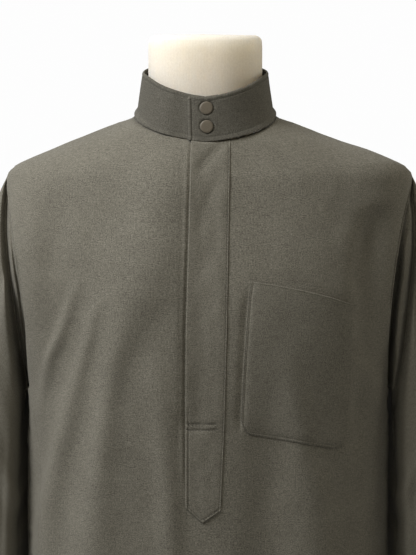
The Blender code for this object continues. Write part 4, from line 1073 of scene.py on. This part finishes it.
CLOTH_DARK, CLOTH_PALE = (0.062, 0.056, 0.043), (0.226, 0.213, 0.172)
# distance between the yarns of the cloth, and between the ribs and the rows of the jersey
YARN_PITCH, RIB_PITCH, KNIT_PITCH = 0.00080, 0.0033, 0.0012


# tone scales the cloth's colours; below 1 it gives a darker copy of the same cloth, which on the collar and
# the pocket is painted shade
def cloth_material(name, tone=1.0):
    t = Tree(name)
    uv = t.node("ShaderNodeTexCoord").outputs["UV"]
    parts = t.node("ShaderNodeSeparateXYZ", {}, Vector=uv).outputs
    warp = t.math("SINE", t.math("MULTIPLY", parts[0], 2 * math.pi / YARN_PITCH))
    weft = t.math("SINE", t.math("MULTIPLY", parts[1], 2 * math.pi / YARN_PITCH))
    weave = t.math("MULTIPLY", warp, weft)
    layers = [
        (1.50, t.noise(t.scaled(uv, 880, 880), 1.0, 1.0, 0.5)),
        (0.55, t.noise(t.scaled(uv, 800, 130), 1.0, 2.0, 0.6)),
        (0.50, t.noise(t.scaled(uv, 120, 800), 1.0, 2.0, 0.6)),
        (0.45, t.noise(t.scaled(uv, 330, 330), 1.0, 2.0, 0.6)),
        (0.30, t.noise(t.scaled(uv, 26, 26), 1.0, 3.0, 0.55)),
    ]
    value = t.math("MULTIPLY", weave, 0.05)
    for weight, layer in layers:
        value = t.math("ADD", value, t.math("MULTIPLY", t.math("SUBTRACT", layer, 0.5), weight))
    dark, pale = [tuple(c * tone for c in colour) + (1,) for colour in (CLOTH_DARK, CLOTH_PALE)]
    colour = t.mix(t.ramp(value, -0.5, 0.5), dark, pale)
    height = t.math("ADD", t.math("MULTIPLY", weave, 0.35), t.math("ADD", layers[0][1], layers[3][1]))
    height = t.math("ADD", height, t.math("ADD", layers[1][1], layers[2][1]))
    normal = t.bump(layers[4][1], 0.0030, 0.35)
    normal = t.bump(height, 0.00028, 0.50, normal)
    return t.finish(colour, normal, Roughness=0.82, Sheen_Weight=0.08, Sheen_Roughness=0.45,
                    Sheen_Tint=(0.85, 0.82, 0.74, 1), Specular_IOR_Level=0.26)


def thread_material():
    t = Tree("thread")
    place = t.node("ShaderNodeTexCoord").outputs["Object"]
    twist = t.noise(t.scaled(place, 2200, 2200, 2200), 1.0, 1.0)
    colour = t.mix(twist, (0.030, 0.027, 0.020, 1), (0.072, 0.066, 0.051, 1))
    return t.finish(colour, t.bump(twist, 0.0001, 0.5), Roughness=0.65, Sheen_Weight=0.1)


def jersey_material():
    t = Tree("jersey")
    place = t.node("ShaderNodeTexCoord").outputs["Object"]
    parts = t.node("ShaderNodeSeparateXYZ", {}, Vector=place).outputs
    ribs = t.math("SINE", t.math("MULTIPLY", parts[0], 2 * math.pi / RIB_PITCH))
    knit = t.math("SINE", t.math("MULTIPLY", parts[2], 2 * math.pi / KNIT_PITCH))
    fuzz = t.noise(t.scaled(place, 700, 700, 500), 1.0, 2.0)
    fine = t.noise(t.scaled(place, 60, 60, 60), 1.0, 2.0)
    tone = t.math("ADD", t.math("MULTIPLY", ribs, 0.035), fuzz)
    colour = t.mix(t.ramp(tone, 0.15, 0.85), (0.645, 0.582, 0.486, 1), (0.775, 0.716, 0.616, 1))
    colour = t.mix(t.math("MULTIPLY", fine, 0.25), colour, (0.700, 0.630, 0.520, 1))
    height = t.math("ADD", t.math("MULTIPLY", ribs, 0.3), t.math("ADD", t.math("MULTIPLY", knit, 0.2), fuzz))
    return t.finish(colour, t.bump(height, 0.00025, 0.4), Roughness=0.9, Sheen_Weight=0.1,
                    Specular_IOR_Level=0.2, Subsurface_Weight=0.7, Subsurface_Scale=0.080,
                    Subsurface_Radius=(1.0, 0.93, 0.80))


def metal_material(name, dark, pale, rough, metallic, grain):
    t = Tree(name)
    place = t.node("ShaderNodeTexCoord").outputs["Object"]
    speck = t.noise(t.scaled(place, *grain), 1.0, 3.0)
    colour = t.mix(t.ramp(speck, 0.3, 0.7), dark, pale)
    return t.finish(colour, t.bump(speck, 0.00012, 0.25), Roughness=rough, Metallic=metallic)


def floor_material():
    t = Tree("floor")
    place = t.node("ShaderNodeTexCoord").outputs["Object"]
    cloud = t.noise(t.scaled(place, 3, 3, 3), 1.0, 3.0)
    return t.finish(t.mix(cloud, (0.78, 0.78, 0.77, 1), (0.84, 0.84, 0.83, 1)), None, Roughness=0.8)


# The pieces, each with its material, body and solid
cloth = cloth_material("cloth")
# the collar wears the same cloth at 0.58 of its colour: the darkening is painted shade
collar_painted_shade_cloth = cloth_material("collar_painted_shade_cloth", 0.58)
# the pocket wears the same cloth at 0.92 of its colour: the darkening is painted shade
pocket_painted_shade_cloth = cloth_material("pocket_painted_shade_cloth", 0.92)
thread, jersey = thread_material(), jersey_material()
snap_metal = metal_material("snap_metal", (0.098, 0.082, 0.058, 1), (0.124, 0.105, 0.076, 1),
                            rough=0.50, metallic=0.10, grain=(900, 900, 900))
steel = metal_material("steel", (0.50, 0.50, 0.49, 1), (0.60, 0.60, 0.59, 1),
                       rough=0.34, metallic=1.0, grain=(60, 60, 900))


def settle(thing, material, node=None):
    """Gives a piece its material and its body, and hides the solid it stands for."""
    thing.data.materials.clear()
    thing.data.materials.append(material)
    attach(thing, "root")
    if node:
        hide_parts(node)
    return thing


front = settle(body_panel("front_cloth", 126, False, 0.0034, 0.0145), cloth, "robe_front")
back = settle(body_panel("back_cloth", 110, True, 0.0042, 0.012), cloth, "robe_back")
gores = {side: settle(gore_panel(f"gore_{word}_cloth", side), cloth, f"gore_{word}")
         for side, word in SIDES}
placket = settle(placket_piece(), cloth, "placket")
pocket = settle(pocket_piece(), pocket_painted_shade_cloth, "chest_pocket")
collar = settle(collar_piece(), collar_painted_shade_cloth, "collar")
sleeves = {}
for side, word in SIDES:
    thing, points, normals = sleeve_piece(f"sleeve_{word}_cloth", side)
    sleeves[side] = (settle(thing, cloth, f"sleeve_{word}"), points, normals)
for name, z in SNAP_HEIGHTS.items():
    settle(snap_piece(name + "_cap", z), snap_metal, name)
settle(form_piece(), jersey, "form_torso")
tube = [(POLE_RADIUS, BASE_HEIGHT + SEAM_GAP), (POLE_RADIUS, POLE_TOP_Z)]
settle(lathe("pole_tube", tube, 64), steel, "form_pole")
rim = [(0.004, 0.0), (BASE_RADIUS - 0.001, 0.0), (BASE_RADIUS, 0.001), (BASE_RADIUS, 0.011),
       (BASE_RADIUS - 0.002, 0.0145), (BASE_RADIUS - 0.006, BASE_HEIGHT), (0.004, BASE_HEIGHT)]
settle(lathe("base_plate", rim, 160), steel, "form_base")


# Stitches as short threads
def front_run(xs, zs, lift):
    xs, zs = np.broadcast_arrays(np.asarray(xs, float), np.asarray(zs, float))
    return front_at(xs, zs, np.full(xs.shape, lift))


def placket_run(inset_left=None, inset_right=None, high=1.462):
    z = np.linspace(high, 1.075, 160)
    if inset_left is not None:
        return front_run(bands(PLACKET_LEFT, z) + inset_left, z, SEAM_GAP + PATCH - 0.0002)
    return front_run(bands(PLACKET_RIGHT, z) - inset_right, z, SEAM_GAP + PATCH - 0.0006)


def line_run(start, end):
    t = np.linspace(0, 1, 30)
    x, z = [start[i] + (end[i] - start[i]) * t for i in (0, 1)]
    return front_run(x, z, SEAM_GAP + PATCH - 0.0001)


tip = (-0.0061, 1.0593)
left_corner, right_corner = (-0.0219, 1.0740), (0.0110, 1.0706)
tack = [(TACK_LEFT_X, TACK_TOP_Z), (TACK_RIGHT_X, TACK_TOP_Z - 0.0006), (TACK_RIGHT_X, TACK_LOW_Z - 0.0006),
        (TACK_LEFT_X, TACK_LOW_Z)]
armhole_z = np.linspace(1.418, 1.285, 90)
armhole_turn = turn_of_y(EDGE["front_y"](armhole_z), armhole_z) * (1 - ARMHOLE_STITCH_INSET / PANEL_HALF)
armhole_points, armhole_normals = body_point(armhole_turn, armhole_z), body_normal(armhole_turn, armhole_z)
armhole_runs = [(armhole_points - armhole_normals * 0.0006, armhole_normals)]
settle(stitches("armhole_stitches", armhole_runs), thread, None)
placket_runs = [placket_run(inset_right=0.0019), placket_run(inset_left=0.0028, high=TACK_LOW_Z)]
placket_runs += [line_run(left_corner, tip), line_run(right_corner, tip)]
placket_runs += [line_run(tack[i], tack[(i + 1) % 4]) for i in range(4)]
placket_runs += [line_run((TACK_LEFT_X, TACK_TOP_Z - 0.0024), (TACK_RIGHT_X, TACK_TOP_Z - 0.0030))]
settle(stitches("placket_stitches", placket_runs), thread, None)


def pocket_run(shares, falls):
    x, z = pocket_grid(np.asarray(shares, float), np.asarray(falls, float))
    return front_run(x, z, SEAM_GAP + 0.0004)


t = np.linspace(0, 1, 90)
pocket_runs = [
    # the left run lies on the pocket's very edge, so its dark thread is partly real stitching and partly a
    # painted shadow line along that edge
    pocket_run(np.full(90, 0.005), 0.008 + 0.975 * t),
    pocket_run(0.005 + 0.915 * t, np.full(90, 0.994)),
    pocket_run(np.full(40, 0.062), np.linspace(0.008, 0.125, 40)),
    pocket_run(np.linspace(0.020, 0.062, 20), np.linspace(0.145, 0.125, 20)),
    pocket_run(np.full(40, 0.938), np.linspace(0.008, 0.125, 40)),
]
settle(stitches("pocket_stitches", pocket_runs), thread, None)


def collar_run(angles, shares):
    angles, shares = np.broadcast_arrays(np.asarray(angles, float), np.asarray(shares, float))
    points = collar_point(angles, shares, np.full(angles.shape, -0.0003))
    flat = np.zeros(angles.shape)
    around = collar_point(angles + 0.5, shares, flat) - collar_point(angles - 0.5, shares, flat)
    up = collar_point(angles, shares + 0.02, flat) - collar_point(angles, shares - 0.02, flat)
    return points, unit(np.cross(around, up))


lap = COLLAR_START + 2.6
collar_runs = [
    collar_run(np.linspace(lap, 345, 500), 0.93),
    collar_run(np.full(60, lap), np.linspace(0.05, 0.90, 60)),
    collar_run(np.linspace(lap, 345, 500), 0.055),
]
settle(stitches("collar_stitches", collar_runs), thread, None)

for side, word in SIDES:
    _, points, normals = sleeves[side]
    cuff = int(np.argmin(np.abs(np.linspace(0, 1, points.shape[0]) ** SLEEVE_PACE - 0.957)))
    runs = [(points[cuff] + normals[cuff] * 0.0001, normals[cuff])]
    settle(stitches(f"sleeve_{word}_stitches", runs, 0.0026, 0.0010), thread, None)
hem_turns = np.linspace(0, 4, 900)
hem_z = np.full(900, HEM_Z + 0.022)
hem_runs = [(body_point(hem_turns, hem_z), body_normal(hem_turns, hem_z))]
settle(stitches("hem_stitches", hem_runs, 0.0032, 0.0016), thread, None)

# Floor, lights and camera
bpy.ops.mesh.primitive_circle_add(vertices=128, radius=3.0, fill_type="NGON", location=(0, 0, -0.0005))
floor = bpy.context.object
floor.name = "floor"
floor.data.materials.append(floor_material())
CHEST = (0.0, 0.0, 1.30)
WARM = (1.0, 0.945, 0.815)


def area_light(name, place, aim, size, power_w, colour=(1, 1, 1)):
    data = bpy.data.lights.new(name, "AREA")
    data.shape, data.size, data.size_y = "RECTANGLE", size[0], size[1]
    data.energy, data.color = power_w, colour
    thing = bpy.data.objects.new(name, data)
    bpy.context.scene.collection.objects.link(thing)
    thing.location = place
    thing.visible_camera = False
    way = np.array(aim) - np.array(place)
    thing.rotation_euler = Vector(way).to_track_quat("-Z", "Y").to_euler()


def on_sphere(azimuth, elevation, distance):
    """A place round the chest: azimuth 0 is in front, positive towards the viewer's left."""
    a, e = math.radians(azimuth), math.radians(elevation)
    level = distance * math.cos(e)
    return (-level * math.sin(a), -level * math.cos(a), CHEST[2] + distance * math.sin(e))


area_light("key", on_sphere(63, 41, 2.35), CHEST, (1.0, 1.0), 66, (0.99, 1.0, 1.03))
area_light("front", on_sphere(8, 56, 2.3), CHEST, (1.2, 1.2), 19, WARM)
area_light("side", on_sphere(-110, 12, 2.6), CHEST, (1.2, 1.2), 24, WARM)
area_light("back", on_sphere(165, 32, 2.8), CHEST, (1.8, 1.8), 20)

world = bpy.data.worlds.new("studio")
bpy.context.scene.world = world
world.use_nodes = True
nodes, links = world.node_tree.nodes, world.node_tree.links
nodes.clear()
output, seen = nodes.new("ShaderNodeOutputWorld"), nodes.new("ShaderNodeBackground")
lighting, choose = nodes.new("ShaderNodeBackground"), nodes.new("ShaderNodeMixShader")
path = nodes.new("ShaderNodeLightPath")
seen.inputs["Color"].default_value = (0.985, 0.985, 0.985, 1)
lighting.inputs["Color"].default_value = (1.0, 0.945, 0.82, 1)
lighting.inputs["Strength"].default_value = 0.085
links.new(path.outputs["Is Camera Ray"], choose.inputs[0])
links.new(lighting.outputs[0], choose.inputs[1])
links.new(seen.outputs[0], choose.inputs[2])
links.new(choose.outputs[0], output.inputs[0])

camera_data = bpy.data.cameras.new("camera")
camera = bpy.data.objects.new("camera", camera_data)
bpy.context.scene.collection.objects.link(camera)
camera.location = CAMERA_PLACE
aim = np.array(CAMERA_AIM) - np.array(CAMERA_PLACE)
camera.rotation_euler = Vector(aim).to_track_quat("-Z", "Y").to_euler()
camera_data.sensor_width = 36
camera_data.lens = 36 * float(np.linalg.norm(aim)) / (IMAGE_HEIGHT * MM_PER_PIXEL / 1000)
camera_data.clip_start, camera_data.clip_end = 0.05, 60
bpy.context.scene.camera = camera
bpy.context.scene.view_settings.view_transform = "Standard"
